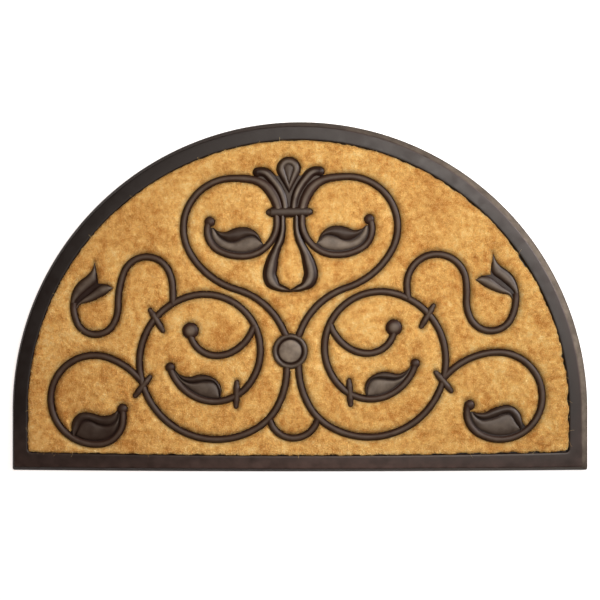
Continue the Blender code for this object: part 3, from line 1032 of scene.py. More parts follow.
@dataclass
class Border:
    """The tray of the moulding: a floor, and a raised border with a bevelled outer side and soft edges."""

    foot: HalfRound = HalfRound(WIDTH / 2, 0.0, (DEPTH - WIDTH) / 2, 2.0 - DEPTH / 2, 2.0, 3.0)
    rim: HalfRound = HalfRound(374.5, -3.0, (DEPTH - WIDTH) / 2, 7.0 - DEPTH / 2, 2.5, 3.0)
    recess: HalfRound = HalfRound(357.5, -2.0, (DEPTH - WIDTH) / 2 - 1.0, 26.0 - DEPTH / 2, 4.5, 5.0)
    bevel_highlight: float = 0.62
    bevel_highlight_way: tuple[float, float] = (0.97, 0.24)
    straight_dust: float = 0.13
    straight_width: float = 18.0
    trodden_dust: float = 0.14
    bevel_slope: float = 0.9

    def loops(self) -> tuple[np.ndarray, np.ndarray]:
        """Give the loops from the underside over the border to the floor, and the dust and painted highlight
        at their points.
        """
        foot, rim, recess, top = self.foot, self.rim, self.recess, BORDER_HEIGHT
        edge = rim.points()
        slope = foot.points() - edge
        lift = top - FOOT_HEIGHT
        # Each row has an outline, its height, and how much of the bevel's painted highlight and of the feet's
        # dust it has
        under = [(foot.points(0.8), 0.0, 0.0, 0.0), (foot.points(0.2), 0.2, 0.0, 0.0),
                 (foot.points(), 0.8, 0.0, 0.0), (foot.points(), FOOT_HEIGHT - 0.4, 0.0, 0.0)]
        bevel = [(edge + 0.95 * slope, FOOT_HEIGHT + 0.3, 0.4, 0.0),
                 *((edge + share * slope, top - share * lift, 1.0, 0.0) for share in (0.75, 0.5, 0.25)),
                 (edge + 0.13 * slope, top - 0.13 * lift, 0.9, 0.0),
                 (edge + 0.04 * slope, top - 0.35, 0.6, 0.0)]
        flat = [(rim.points(0.5), top - 0.08, 0.3, 1.0), (rim.points(1.5), top, 0.1, 1.0),
                (recess.points(-3.0), top, 0.0, 0.6), (recess.points(-1.1), top - 0.06, 0.0, 0.6)]
        inner = [(recess.points(-0.4), top - 0.35, 0.0, 0.4), (recess.points(), top - 1.0, 0.0, 0.2),
                 (recess.points(), FLOOR + 1.0, 0.0, 0.0), (recess.points(), FLOOR, 0.0, 0.0),
                 (recess.points(4.0), FLOOR, 0.0, 0.0)]
        rows = under + bevel + flat + inner
        loops = [np.column_stack([points, np.full(len(points), height)]) for points, height, _, _ in rows]
        bevel_lit, crossed = self.painted_bevel_highlights(slope), self.crossings(edge)
        return np.array(loops), np.array([lit_share * bevel_lit + cross * crossed for _, _, lit_share, cross in rows])

    def painted_bevel_highlights(self, slope: np.ndarray) -> np.ndarray:
        """Give the painted highlight on the bevel at each point of the outline: most on the side at the
        right, which faces the light.

        Args:
            slope: the way from the rim out to the foot at each point.

        Returns:
            What the painted highlight adds there.
        """
        out = slope / np.linalg.norm(slope, axis=1)[:, None]
        return self.bevel_highlight * np.clip(out @ np.array(self.bevel_highlight_way), 0.0, 1.0) ** 3

    def crossings(self, edge: np.ndarray) -> np.ndarray:
        """Give the dust that feet leave on the border's flat: along the straight side, most in its middle.

        Args:
            edge: the rim's outline.

        Returns:
            The dust at each of its points.
        """
        straight = np.exp(-((edge[:, 1] - self.rim.bottom) / self.straight_width) ** 2)
        return self.straight_dust * straight + self.trodden_dust * trodden(edge)

    def build(self, finish: bpy.types.Material, bevel_finish: bpy.types.Material) -> bpy.types.Object:
        """Make the border and the floor as one piece, with its outer side in a duller finish."""
        draft = Draft()
        draft.skin(*self.loops())
        obj = draft.piece("rubber_border", finish)
        obj.data.materials.append(bevel_finish)
        for face in obj.data.polygons:
            if 0.0 < face.normal.z < self.bevel_slope and self.outside(face.center):
                face.material_index = 1
        return obj

    def outside(self, place: Vector) -> bool:
        """Say whether a place lies past the border's flat top, on its outer side."""
        x, y = place.x / MM, place.y / MM
        above = max(y - self.rim.centre_y, 0.0)
        radius = math.hypot(x - self.rim.centre_x, above)
        return radius > self.rim.radius - 1.0 or y < self.rim.bottom


@dataclass
class Scrolls:
    """The round-topped bars of both halves, with the cup under the boss."""

    joint_steps: float = 3.0
    crown_highlight_steps: float = 14.0

    def dust_and_highlight(self, route: Route, count: int) -> np.ndarray:
        """Give how pale a bar is painted: a highlight on its ridge, less at its joints, and most on the
        ridges that leave the crown.

        Args:
            route: the bar's middle line.
            count: how many cross-sections it has.

        Returns:
            A row for each cross-section, with the painted highlight at its points.
        """
        step = np.arange(count)[:, None]
        clear = np.clip(np.minimum(step, count - 1 - step) / self.joint_steps, 0.0, 1.0)
        pale_share = clear * ridge_highlight(Section.ROUND, BAR_RIDGE_HIGHLIGHT)
        if route in (HEART, HOOK):
            # Near the crown the ridge is painted paler, as a stronger highlight
            near_crown = np.exp(-step / self.crown_highlight_steps)
            pale_share = (1 - near_crown) * pale_share + near_crown * ridge_highlight(Section.RIDGED, CROWN_BAR_HIGHLIGHT)
        return pale_share

    def build(self, finish: bpy.types.Material) -> bpy.types.Object:
        """Make the bars as one piece."""
        draft = Draft()
        cup = CUP.swept(Section.ROUND, -BAR_LIFT)
        draft.skin(on_mat(cup, Side.RIGHT), self.dust_and_highlight(CUP, len(cup)))
        for half in HALVES:
            for step, route in enumerate(half.scrolls()):
                loops = route.swept(Section.ROUND, BAR_LIFT * step)
                draft.skin(on_mat(loops, half.side, route.axis), self.dust_and_highlight(route, len(loops)))
        return draft.piece("rubber_scrolls", finish)


@dataclass
class Foliage:
    """The leaves along the bars, and the buds at the ends of the upper tendrils."""

    def leaf(self, draft: Draft, leaf: Leaf, side: Side) -> None:
        """Add one leaf.

        Args:
            draft: the draft that it goes into.
            leaf: the leaf.
            side: its half.
        """
        draft.plate(anticlockwise(on_mat(leaf.outline(), side, leaf.bar.axis)), leaf.low - leaf.plate_drop)
        for loops, dust_and_highlight in leaf.shells():
            draft.skin(on_mat(loops, side, leaf.bar.axis), dust_and_highlight)

    def bud(self, draft: Draft, half: Half) -> None:
        """Add one bud.

        Args:
            draft: the draft that it goes into.
            half: the half whose tendril carries it.
        """
        bud, place = half.bud, half.bud_place()
        draft.plate(anticlockwise(on_mat(bud.outline() + place, half.side)), bud.low)
        share = np.arange(bud.cross_steps + 1) / bud.cross_steps
        arch = np.sin(math.pi * share)
        # The blades' crests are painted pale as a highlight
        crown = np.concatenate([[0.0], BUD_HIGHLIGHT * arch ** 2, [0.0]])
        for inner, outer in bud.blades():
            loops = []
            for near, far in zip(inner + place, outer + place):
                wide = float(np.linalg.norm(far - near))
                rise = bud.rise * min(wide / bud.full_width, 1.0) * arch ** bud.fullness
                loops.append(cross_loop(near, far, np.column_stack([share, bud.low + rise])))
            draft.skin(on_mat(np.array(loops), half.side), np.tile(crown, (len(loops), 1)))

    def build(self, finish: bpy.types.Material) -> list[bpy.types.Object]:
        """Make the leaves as one piece and the buds as another."""
        leaves, buds = Draft(), Draft()
        for half in HALVES:
            for leaf in half.leaves():
                self.leaf(leaves, leaf, half.side)
            self.bud(buds, half)
        return [leaves.piece("rubber_leaves", finish), buds.piece("rubber_buds", finish)]


def cross_loop(near: np.ndarray, far: np.ndarray, section: np.ndarray) -> np.ndarray:
    """Stand a cross-section between two points.

    Args:
        near: the point at its start.
        far: the point at its end.
        section: rows that start with the share of the way and the height.

    Returns:
        The closed loop, with both feet in the floor.
    """
    flat = near + (far - near) * section[:, :1]
    top = np.column_stack([flat, section[:, 1]])
    return np.concatenate([[[*near, ROOT]], top, [[*far, ROOT]]])


@dataclass
class Fittings:
    """The ball ends and the ties."""

    def build(self, finish: bpy.types.Material) -> list[bpy.types.Object]:
        """Make the balls as one piece and the ties as another."""
        balls, ties = Draft(), Draft()
        for half in HALVES:
            for ball in half.balls():
                place = on_mat(np.array([ball.x, ball.y]), half.side, ball.axis)
                balls.turn(place, ball.profile(), ball.steps)
            for collar in half.collars():
                ties.skin(on_mat(collar.loops(), half.side), ridge_highlight(Section.ROUND, BAR_RIDGE_HIGHLIGHT))
        return [balls.piece("rubber_ball_ends", finish), ties.piece("rubber_ties", finish)]


@dataclass
class Crown:
    """The crown: two side petals, two tails, the middle petal, the band round them and a low web between."""

    band: Collar = Collar(0.0, 181.0, 0, 62.0, 14.0, 11.6, waist=0.3, knob=6.5, knob_drop=1.2)
    petal_y: float = 238.0
    petal_radius: float = 16.0
    petal_point_y: float = 205.5
    petal_steps: int = 40
    petal_side_steps: int = 8
    petal_pull: float = 1.3
    # Rows of how far in from its outline, the height, and the painted highlight there
    petal_profile: tuple[tuple[float, float, float], ...] = (
        (0.0, ROOT, 0.0), (0.0, 6.6, 0.0), (1.2, 8.0, 0.0), (2.6, 9.6, 0.05), (3.8, 10.5, 0.2),
        (5.2, 11.0, 0.4), (6.8, 11.1, 0.45), (8.2, 10.8, 0.3), (9.2, 10.2, 0.15), (9.8, 9.7, 0.05),
        (10.2, 9.6, 0.05), (10.6, 9.7, 0.1), (11.3, 10.1, 0.18), (12.6, 10.3, 0.24), (15.6, 10.5, 0.24))
    ridge_drop: float = 0.1
    fade_steps: float = 5.0
    web_edge: tuple[tuple[float, float], ...] = (
        (18, 184), (22, 200), (30, 212), (43, 225), (38, 232), (26, 230), (14, 229), (0, 238))
    web_top: float = 6.6

    def teardrop(self, inward: float = 0.0) -> np.ndarray:
        """Draw the middle petal's outline about the crown's axis.

        Args:
            inward: how far it is moved inward.

        Returns:
            Its points: round on top, drawn to a point between the side petals.
        """
        radius = self.petal_radius - inward
        point = np.array([0.0, self.petal_point_y + self.petal_pull * inward])
        tangent = math.degrees(math.asin(radius / (self.petal_y - point[1])))
        top = round_part(0.0, self.petal_y, radius, -tangent, 180 + 2 * tangent, self.petal_steps)
        shares = np.linspace(0, 1, self.petal_side_steps + 1)[1:, None]
        left = top[-1] + (point - top[-1]) * shares
        right = point + (top[0] - point) * shares[:-1]
        return np.concatenate([top, left, right])

    def web(self) -> np.ndarray:
        """Draw the web's outline about the crown's axis."""
        left = [(-x, y) for x, y in self.web_edge[-2::-1]]
        return np.array([*self.web_edge, *left], dtype=float)

    def petal(self) -> tuple[np.ndarray, np.ndarray]:
        """Give the middle petal's loops, from its foot to its middle, and the painted highlight on each."""
        count = len(self.teardrop())
        loops = [np.column_stack([self.teardrop(inward), np.full(count, height)])
                 for inward, height, _ in self.petal_profile]
        return np.array(loops), np.array([[dust_and_highlight] for _, _, dust_and_highlight in self.petal_profile])

    def build(self, finish: bpy.types.Material) -> bpy.types.Object:
        """Make the crown as one piece."""
        draft = Draft()
        draft.plate(anticlockwise(on_mat(self.web(), Side.RIGHT, CROWN_AXIS)), self.web_top, TOP_HIGHLIGHT)
        for half in HALVES:
            for step, route in enumerate(half.petals()):
                loops = route.swept(Section.RIDGED, BAR_LIFT * step - self.ridge_drop)
                fade = np.clip(np.arange(len(loops))[::-1, None] / self.fade_steps, 0.0, 1.0)
                dust_and_highlight = fade * ridge_highlight(Section.RIDGED, PETAL_RIDGE_HIGHLIGHT)
                draft.skin(on_mat(loops, half.side, route.axis), dust_and_highlight)
            place = on_mat(np.array([PETAL_END.x, PETAL_END.y]), half.side, PETAL_END.axis)
            draft.turn(place, PETAL_END.profile(Section.RIDGED), PETAL_END.steps)
        loops, dust_and_highlight = self.petal()
        draft.skin(on_mat(loops, Side.RIGHT, CROWN_AXIS), dust_and_highlight)
        draft.skin(on_mat(self.band.loops(), Side.RIGHT, CROWN_AXIS), ridge_highlight(Section.ROUND, BAR_RIDGE_HIGHLIGHT))
        return draft.piece("rubber_crown", finish)


@dataclass
class Boss:
    """The turned boss in the middle of the ornament: a round rim, a groove, and a disc painted pale as a
    highlight.
    """

    centre: tuple[float, float] = (-3.2, -3.0)
    steps: int = 72
    # Rows of radius, height and painted highlight
    profile: tuple[tuple[float, float, float], ...] = (
        (23.3, ROOT, 0.0), (23.3, 7.8, 0.0), (22.9, 9.2, 0.1), (21.8, 10.5, 0.25), (20.4, 11.1, 0.35),
        (18.8, 10.8, 0.3), (17.6, 9.8, 0.1), (16.9, 8.6, 0.0), (16.1, 8.2, 0.0), (15.3, 8.5, 0.0),
        (14.9, 9.5, 0.3), (14.2, 10.2, 0.65), (12.5, 10.5, 0.82), (7.0, 10.8, 0.82), (1.5, 10.9, 0.82))

    def place(self) -> np.ndarray:
        """Give the boss's centre on the mat."""
        return on_mat(np.array(self.centre), Side.RIGHT)

    def build(self, finish: bpy.types.Material) -> bpy.types.Object:
        """Make the boss."""
        draft = Draft()
        draft.turn(self.place(), np.array(self.profile), self.steps)
        return draft.piece("rubber_boss", finish)


@dataclass
class Plan:
    """The mat drawn flat: the recess, and all the rubber that stands in it, which the pile leaves out."""

    points: list[Vector] = field(default_factory=list)
    faces: list[list[int]] = field(default_factory=list)
    edges: list[np.ndarray] = field(default_factory=list)
    rubber: list[np.ndarray] = field(default_factory=list)
    sample: float = 0.8

    def polygon(self, outline: np.ndarray, is_rubber: bool = True) -> None:
        """Add a closed outline.

        Args:
            outline: its points.
            is_rubber: whether it is rubber, and not the recess itself.
        """
        outline = anticlockwise(outline)
        start = len(self.points)
        self.points += [Vector(point) for point in outline]
        self.faces.append(list(range(start, start + len(outline))))
        self.mark(np.concatenate([outline, outline[:1]]), is_rubber)

    def strip(self, right: np.ndarray, left: np.ndarray) -> None:
        """Add a bar as a row of four-sided faces.

        Args:
            right: the points along its right side.
            left: the points along its left side.
        """
        start = len(self.points)
        count = len(right)
        self.points += [Vector(point) for point in (*right, *left)]
        corners = np.array([right[0], right[1], left[1], left[0]])
        forward = anticlockwise(corners) is corners
        for i in range(start, start + count - 1):
            face = [i, i + 1, i + 1 + count, i + count]
            self.faces.append(face if forward else face[::-1])
        self.mark(np.concatenate([right, left[::-1], right[:1]]), True)

    def mark(self, line: np.ndarray, is_rubber: bool) -> None:
        """Remember points along a line, close together, so that distances can be read."""
        length = np.linalg.norm(np.diff(line, axis=0), axis=1).sum()
        samples = resampled(line, int(length / self.sample) + 2)
        self.edges.append(samples)
        self.rubber.append(np.full(len(samples), is_rubber))

    def tree(self) -> tuple[kdtree.KDTree, np.ndarray]:
        """Give a tree of all marked points, and for each whether it is on the ornament."""
        samples = np.concatenate(self.edges)
        found = kdtree.KDTree(len(samples))
        for index, (x, y) in enumerate(samples):
            found.insert((x, y, 0.0), index)
        found.balance()
        return found, np.concatenate(self.rubber)


def drawn_plan(border: Border, crown: Crown, boss: Boss) -> Plan:
    """Draw everything that bounds the pile, a gap wider than it is.

    Args:
        border: the tray, whose recess comes first.
        crown: the crown.
        boss: the boss.

    Returns:
        The plan.
    """
    plan = Plan()
    plan.polygon(drawn_back(border.recess.points(GAP)), is_rubber=False)
    plan.polygon(circle(*boss.place(), boss.profile[0][0] + GAP))
    for outline in (crown.teardrop(), crown.band.outline(), crown.web()):
        plan.polygon(grown(anticlockwise(on_mat(outline, Side.RIGHT, CROWN_AXIS)), GAP))
    plan.strip(*(on_mat(side, Side.RIGHT) for side in CUP.sides(GAP)))
    for half in HALVES:
        for route in half.scrolls() + half.petals():
            plan.strip(*(on_mat(side, half.side, route.axis) for side in route.sides(GAP)))
        outlines = [(leaf.outline(), leaf.bar.axis) for leaf in half.leaves()]
        outlines += [(collar.outline(), 0.0) for collar in half.collars()]
        outlines += [(ball.outline(), ball.axis) for ball in (*half.balls(), PETAL_END)]
        outlines.append((half.bud.outline() + half.bud_place(), 0.0))
        for outline, axis in outlines:
            plan.polygon(grown(anticlockwise(on_mat(outline, half.side, axis)), GAP))
    return plan


# Where the coir's edge has drawn back from the border: in long waves with short ones on them
EDGE_WAVES = (Waves(16.0, 1.0, 5.0), Waves(5.0, 0.6, 8.0))


def drawn_back(outline: np.ndarray, most: float = 3.3, spacing: float = 2.4) -> np.ndarray:
    """Draw the coir's edge along the border, from which it has drawn back in places.

    Args:
        outline: the coir's outline where it fills the recess, anticlockwise.
        most: how far it draws back at most.
        spacing: how far apart its new points are.

    Returns:
        The uneven outline.
    """
    closed = np.concatenate([outline, outline[:1]])
    length = np.linalg.norm(np.diff(closed, axis=0), axis=1).sum()
    fine = resampled(closed, int(length / spacing))[:-1]
    # It draws back more to the right and toward the straight side, but not where feet press it outward
    to_right = 0.4 * fine[:, 0] / (WIDTH / 2)
    to_straight_side = -0.3 * fine[:, 1] / (DEPTH / 2)
    share = np.clip(0.65 + to_right + to_straight_side - 0.6 * trodden(fine), 0.0, 1.0)
    uneven = sum(wave.at(fine) for wave in EDGE_WAVES)
    return grown(fine, -most * share * np.clip(0.3 + uneven, 0.0, 1.0))


@dataclass
class Bed:
    """One closed body of pile, without its bristles, ready to become an object."""

    node: str
    points: np.ndarray
    triangles: np.ndarray
    distance: np.ndarray
    toward: np.ndarray
    on_ornament: np.ndarray


@dataclass
class CoirPile:
    """The coir in the recesses: a low, uneven bed for each, with standing bristles and a few loose fibres."""

    nodes: tuple[str, ...] = ("coir_field", "coir_heart", "coir_drop", "coir_eye")
    seed: int = 7
    # The beds: their triangles' size, their heights, and how far they dip beside the ornament and the border
    spacing: float = 2.4
    shake: float = 0.28
    clear: float = 0.9
    crest: float = 10.7
    dip: float = 4.0
    border_dip: float = 1.0
    shoulder: float = 3.2
    small_clumps: Waves = Waves(5.0, 0.55, 3.0)
    large_clumps: Waves = Waves(13.0, 0.5, 9.0)
    tint: float = 0.3
    # The painted shade beside the rubber: how far it reaches, how dark it gets at most, and how unevenly
    painted_shade_reach: float = 3.1
    painted_shade_most: float = 0.45
    painted_shade_waves: Waves = Waves(4.0, 0.5, 30.0)
    # The bristles and loose fibres: how they lean, how big and how close together they are
    comb: tuple[float, float] = (-0.12, 0.08)
    swirl: float = 0.45
    swirl_width: float = 9.0
    lean_reach: float = 4.0
    splay: float = 0.45
    hug: float = 1.2
    hug_reach: float = 0.9
    fringe: Waves = Waves(2.5, 1.8, 40.0)
    ragged: float = 0.2
    tufts: Waves = Waves(6.0, 1.1, 20.0)
    pressed_over: float = 1.3
    bristle_length: float = 2.1
    bristle_width: float = 0.44
    bristle_spread: float = 0.42
    bristles_per_mm2: float = 0.9
    loose_reach: float = 5.0
    field_cuts: tuple[float, ...] = (-400.0, -170.0, 0.0, 170.0, 400.0)

    def lattice(self, recess: HalfRound) -> np.ndarray:
        """Scatter points over the recess.

        Args:
            recess: the recess's outline.

        Returns:
            The points of a shaken triangular lattice.
        """
        random = np.random.default_rng(self.seed)
        row_height = self.spacing * math.sqrt(0.75)
        radius = recess.radius - self.clear
        xs = np.arange(recess.centre_x - radius, recess.centre_x + radius, self.spacing)
        ys = np.arange(recess.bottom - recess.bow, recess.centre_y + radius, row_height)
        grid_x, grid_y = np.meshgrid(xs, ys)
        grid_x[1::2] += self.spacing / 2
        found = np.column_stack([grid_x.ravel(), grid_y.ravel()])
        found += random.uniform(-self.shake, self.shake, found.shape) * self.spacing
        above = np.maximum(found[:, 1] - recess.centre_y, 0.0)
        inside = np.hypot(found[:, 0] - recess.centre_x, above) < radius
        return found[inside]

    def beds(self, plan: Plan, recess: HalfRound) -> list[Bed]:
        """Fill what the rubber leaves free with triangles.

        Args:
            plan: the plan of the rubber.
            recess: the recess's outline.

        Returns:
            The four bodies of pile.
        """
        tree, on_ornament = plan.tree()
        free = [point for point in self.lattice(recess) if tree.find((*point, 0.0))[2] > self.clear]
        points = plan.points + [Vector(point) for point in free]
        # The triangles inside some outline, and for each the outlines that it lies in, where 0 is the recess
        drawn, _, faces, _, _, owners = delaunay_2d_cdt(points, [], plan.faces, 1, 1e-5, True)
        kept = np.array([face for face, owner in zip(faces, owners) if owner == [0]])
        flat = np.array([tuple(point) for point in drawn])
        groups = grouped(kept, len(flat))
        areas = [triangle_area(flat, group) for group in groups]
        # The field and the heart are the largest, and the drop lies nearer the straight side than the eye
        largest = [groups[i] for i in np.argsort(areas)[::-1][:len(self.nodes)]]
        small = sorted(largest[2:], key=lambda group: flat[group.ravel(), 1].min())
        beds = []
        for node, group in zip(self.nodes, largest[:2] + small):
            used, local = np.unique(group, return_inverse=True)
            here = flat[used]
            nearest = [tree.find((*point, 0.0)) for point in here]
            toward = np.array([(place.x, place.y) for place, _, _ in nearest]) - here
            distance = np.array([row[2] for row in nearest])
            marks = on_ornament[[row[1] for row in nearest]]
            beds.append(Bed(node, here, local.reshape(group.shape), distance, toward, marks))
        return beds

    def heights(self, bed: Bed) -> np.ndarray:
        """Give the height of a bed's top at each point: uneven in clumps, and lower beside the rubber."""
        drop = np.where(bed.on_ornament, self.dip, self.border_dip) * np.exp(-bed.distance / self.shoulder)
        return self.crest - drop + (self.small_clumps.at(bed.points) + self.large_clumps.at(bed.points))

    def leans(self, bed: Bed) -> np.ndarray:
        """Give the way that bristles lean at each point: combed in swirls, and in places over the rubber."""
        scaled = bed.points / self.swirl_width
        # Blender's vector noise starts from the clock unless it is given a seed
        noise.seed_set(self.seed)
        swirls = np.array([noise.noise_vector((x, y, 1.0)) for x, y in scaled])[:, :2]
        near = np.exp(-bed.distance / self.lean_reach)
        # Beside the ornament they lean away from it, but for a fringe that hugs its sides
        fringe = self.hug + self.fringe.at(bed.points)
        hugging = fringe * np.exp(-(bed.distance / self.hug_reach) ** 2) - self.splay * near
        # Beside the border they lean over it in ragged tufts, most of all where feet cross
        over = self.ragged + self.tufts.at(bed.points) + self.pressed_over * trodden(bed.points)
        push = np.where(bed.on_ornament, hugging, near * over) / np.maximum(bed.distance, 0.3)
        flat = np.array(self.comb) + self.swirl * swirls + push[:, None] * bed.toward
        return np.column_stack([flat, np.ones(len(flat))])

    def bed_mesh(self, bed: Bed) -> bpy.types.Mesh:
        """Close a bed with its walls and its underside.

        Args:
            bed: the bed.

        Returns:
            Its mesh, with the attributes that the bristles read.
        """
        top = np.column_stack([bed.points, self.heights(bed)])
        rim = rim_edges(bed.triangles)
        rim_points = np.unique(rim)
        below = {point: len(top) + i for i, point in enumerate(rim_points)}
        floor = np.column_stack([bed.points[rim_points], np.full(len(rim_points), PILE_LOW[2])])
        made = bmesh.new()
        verts = [made.verts.new(point) for point in np.concatenate([top, floor]) * MM]
        top_layer = made.faces.layers.bool.new("pile_top")
        for triangle in bed.triangles:
            made.faces.new([verts[i] for i in triangle])[top_layer] = True
        for a, b in rim:
            made.faces.new([verts[i] for i in (b, a, below[a], below[b])])
        made.edges.ensure_lookup_table()
        lower = [edge for edge in made.edges if len(edge.link_faces) == 1]
        bmesh.ops.triangle_fill(made, use_beauty=True, edges=lower, normal=(0, 0, -1))
        bmesh.ops.recalc_face_normals(made, faces=made.faces)
        mesh = bpy.data.meshes.new(bed.node)
        made.to_mesh(mesh)
        made.free()
        # What the bristles and the fibre's finish read, on the top's points and then on the underside's
        layers = (("lean", "FLOAT_VECTOR", "vector", self.leans(bed), [0.0, 0.0, 1.0]),
                  ("loose", "FLOAT", "value", self.fibre_weights(bed), 0.0),
                  ("tint", "FLOAT", "value", np.full(len(top), self.tint), self.tint),
                  ("painted_shade", "FLOAT", "value", self.painted_shades(bed), self.painted_shade_most))
        for name, kind, key, above, under in layers:
            values = np.concatenate([above, np.full((len(rim_points), *above.shape[1:]), under)])
            mesh.attributes.new(name, kind, "POINT").data.foreach_set(key, values.ravel())
        mesh.shade_smooth()
        return mesh

    def painted_shades(self, bed: Bed) -> np.ndarray:
        """Give how much painted shade darkens the fibres at each point: most right beside the rubber."""
        reach = self.painted_shade_reach * np.where(bed.on_ornament, 1.0, 0.5)
        uneven = 1 + self.painted_shade_waves.at(bed.points)
        return self.painted_shade_most * np.exp(-(bed.distance / (reach * uneven)) ** 1.5)

    def fibre_weights(self, bed: Bed) -> np.ndarray:
        """Give how many loose fibres lie at each point: few beside the ornament, most along the border."""
        near = np.exp(-bed.distance / self.loose_reach)
        return np.where(bed.on_ornament, np.maximum(1 - 2 * near, 0.0), 1 + near)

    def build(self, plan: Plan, recess: HalfRound, border: bpy.types.Object) -> list[bpy.types.Object]:
        """Make the beds, their bristles and loose fibres, each piece in place of the CAD node that it stands
        for.

        Args:
            plan: the plan of the rubber.
            recess: the recess's outline.
            border: the piece that the pile rests on.

        Returns:
            Every piece of coir.
        """
        ground = CoirFibre("coir pile, its shaded roots", shade=0.85).material()
        fibre = CoirFibre("coir pile, cut bristles").material()
        bristle_tree, fibre_tree = BristleTree().made(), FibreTree().made()
        pieces = []
        for bed in self.beds(plan, recess):
            mesh = self.bed_mesh(bed)
            obj = placed_piece(bed.node + "_bed", mesh, ground, [bed.node])
            # The field's bristles come in several pieces, so that none has too many triangles
            cuts = self.field_cuts if bed.node == self.nodes[0] else (self.field_cuts[0], self.field_cuts[-1])
            on_it = []
            for number, (west, east) in enumerate(zip(cuts, cuts[1:]), 1):
                word = f"_{number}" if len(cuts) > 2 else ""
                standing = grown_on(obj, bristle_tree, {
                    "West": west * MM, "East": east * MM, "Density": self.bristles_per_mm2 / MM ** 2,
                    "Length": self.bristle_length * MM, "Radius": self.bristle_width * MM,
                    "Spread": self.bristle_spread, "Finish": fibre})
                on_it.append(placed_piece(f"{bed.node}_bristles{word}", standing, None, [bed.node]))
            loose = grown_on(obj, fibre_tree, {"Finish": fibre})
            on_it.append(placed_piece(f"{bed.node}_loose_fibres", loose, None, [bed.node]))
            pieces += [obj, *on_it]
        return pieces


def triangle_area(points: np.ndarray, triangles: np.ndarray) -> float:
    """Add up the flat area of triangles."""
    a, b, c = (points[triangles[:, k]] for k in range(3))
    first, second = b - a, c - a
    return float(np.abs(first[:, 0] * second[:, 1] - first[:, 1] * second[:, 0]).sum() / 2)


def rim_edges(triangles: np.ndarray) -> np.ndarray:
    """Find the edges that only one triangle has.

    Args:
        triangles: rows of three point numbers.

    Returns:
        Rows of two point numbers, in the triangle's own order.
    """
    pairs = np.concatenate([triangles[:, [0, 1]], triangles[:, [1, 2]], triangles[:, [2, 0]]])
    keys = np.sort(pairs, axis=1)
    _, first, counts = np.unique(keys, axis=0, return_index=True, return_counts=True)
    return pairs[first[counts == 1]]


def grouped(triangles: np.ndarray, count: int) -> list[np.ndarray]:
    """Split triangles into the bodies that hang together.

    Args:
        triangles: rows of three point numbers.
        count: how many points there are.

    Returns:
        The triangles of each body.
    """
    label = np.arange(count)
    while True:
        lowest = label[triangles].min(axis=1)
        fresh = label.copy()
        for k in range(3):
            np.minimum.at(fresh, triangles[:, k], lowest)
        fresh = fresh[fresh]
        if np.array_equal(fresh, label):
            break
        label = fresh
    marks = label[triangles[:, 0]]
    return [triangles[marks == mark] for mark in np.unique(marks)]


def grown_on(bed: bpy.types.Object, tree: bpy.types.NodeTree, values: dict[str, Any]) -> bpy.types.Mesh:
    """Run a geometry tree on a bed and take the result as a plain mesh.

    Args:
        bed: the bed.
        tree: the geometry tree.
        values: its inputs by name.

    Returns:
        The mesh.
    """
    modifier = bed.modifiers.new("growth", "NODES")
    modifier.node_group = tree
    for item in tree.interface.items_tree:
        if item.item_type == "SOCKET" and item.in_out == "INPUT" and item.name in values:
            modifier[item.identifier] = values[item.name]
    bed.update_tag()
    bpy.context.view_layer.update()
    evaluated = bed.evaluated_get(bpy.context.evaluated_depsgraph_get())
    mesh = bpy.data.meshes.new_from_object(evaluated)
    bed.modifiers.remove(modifier)
    return mesh


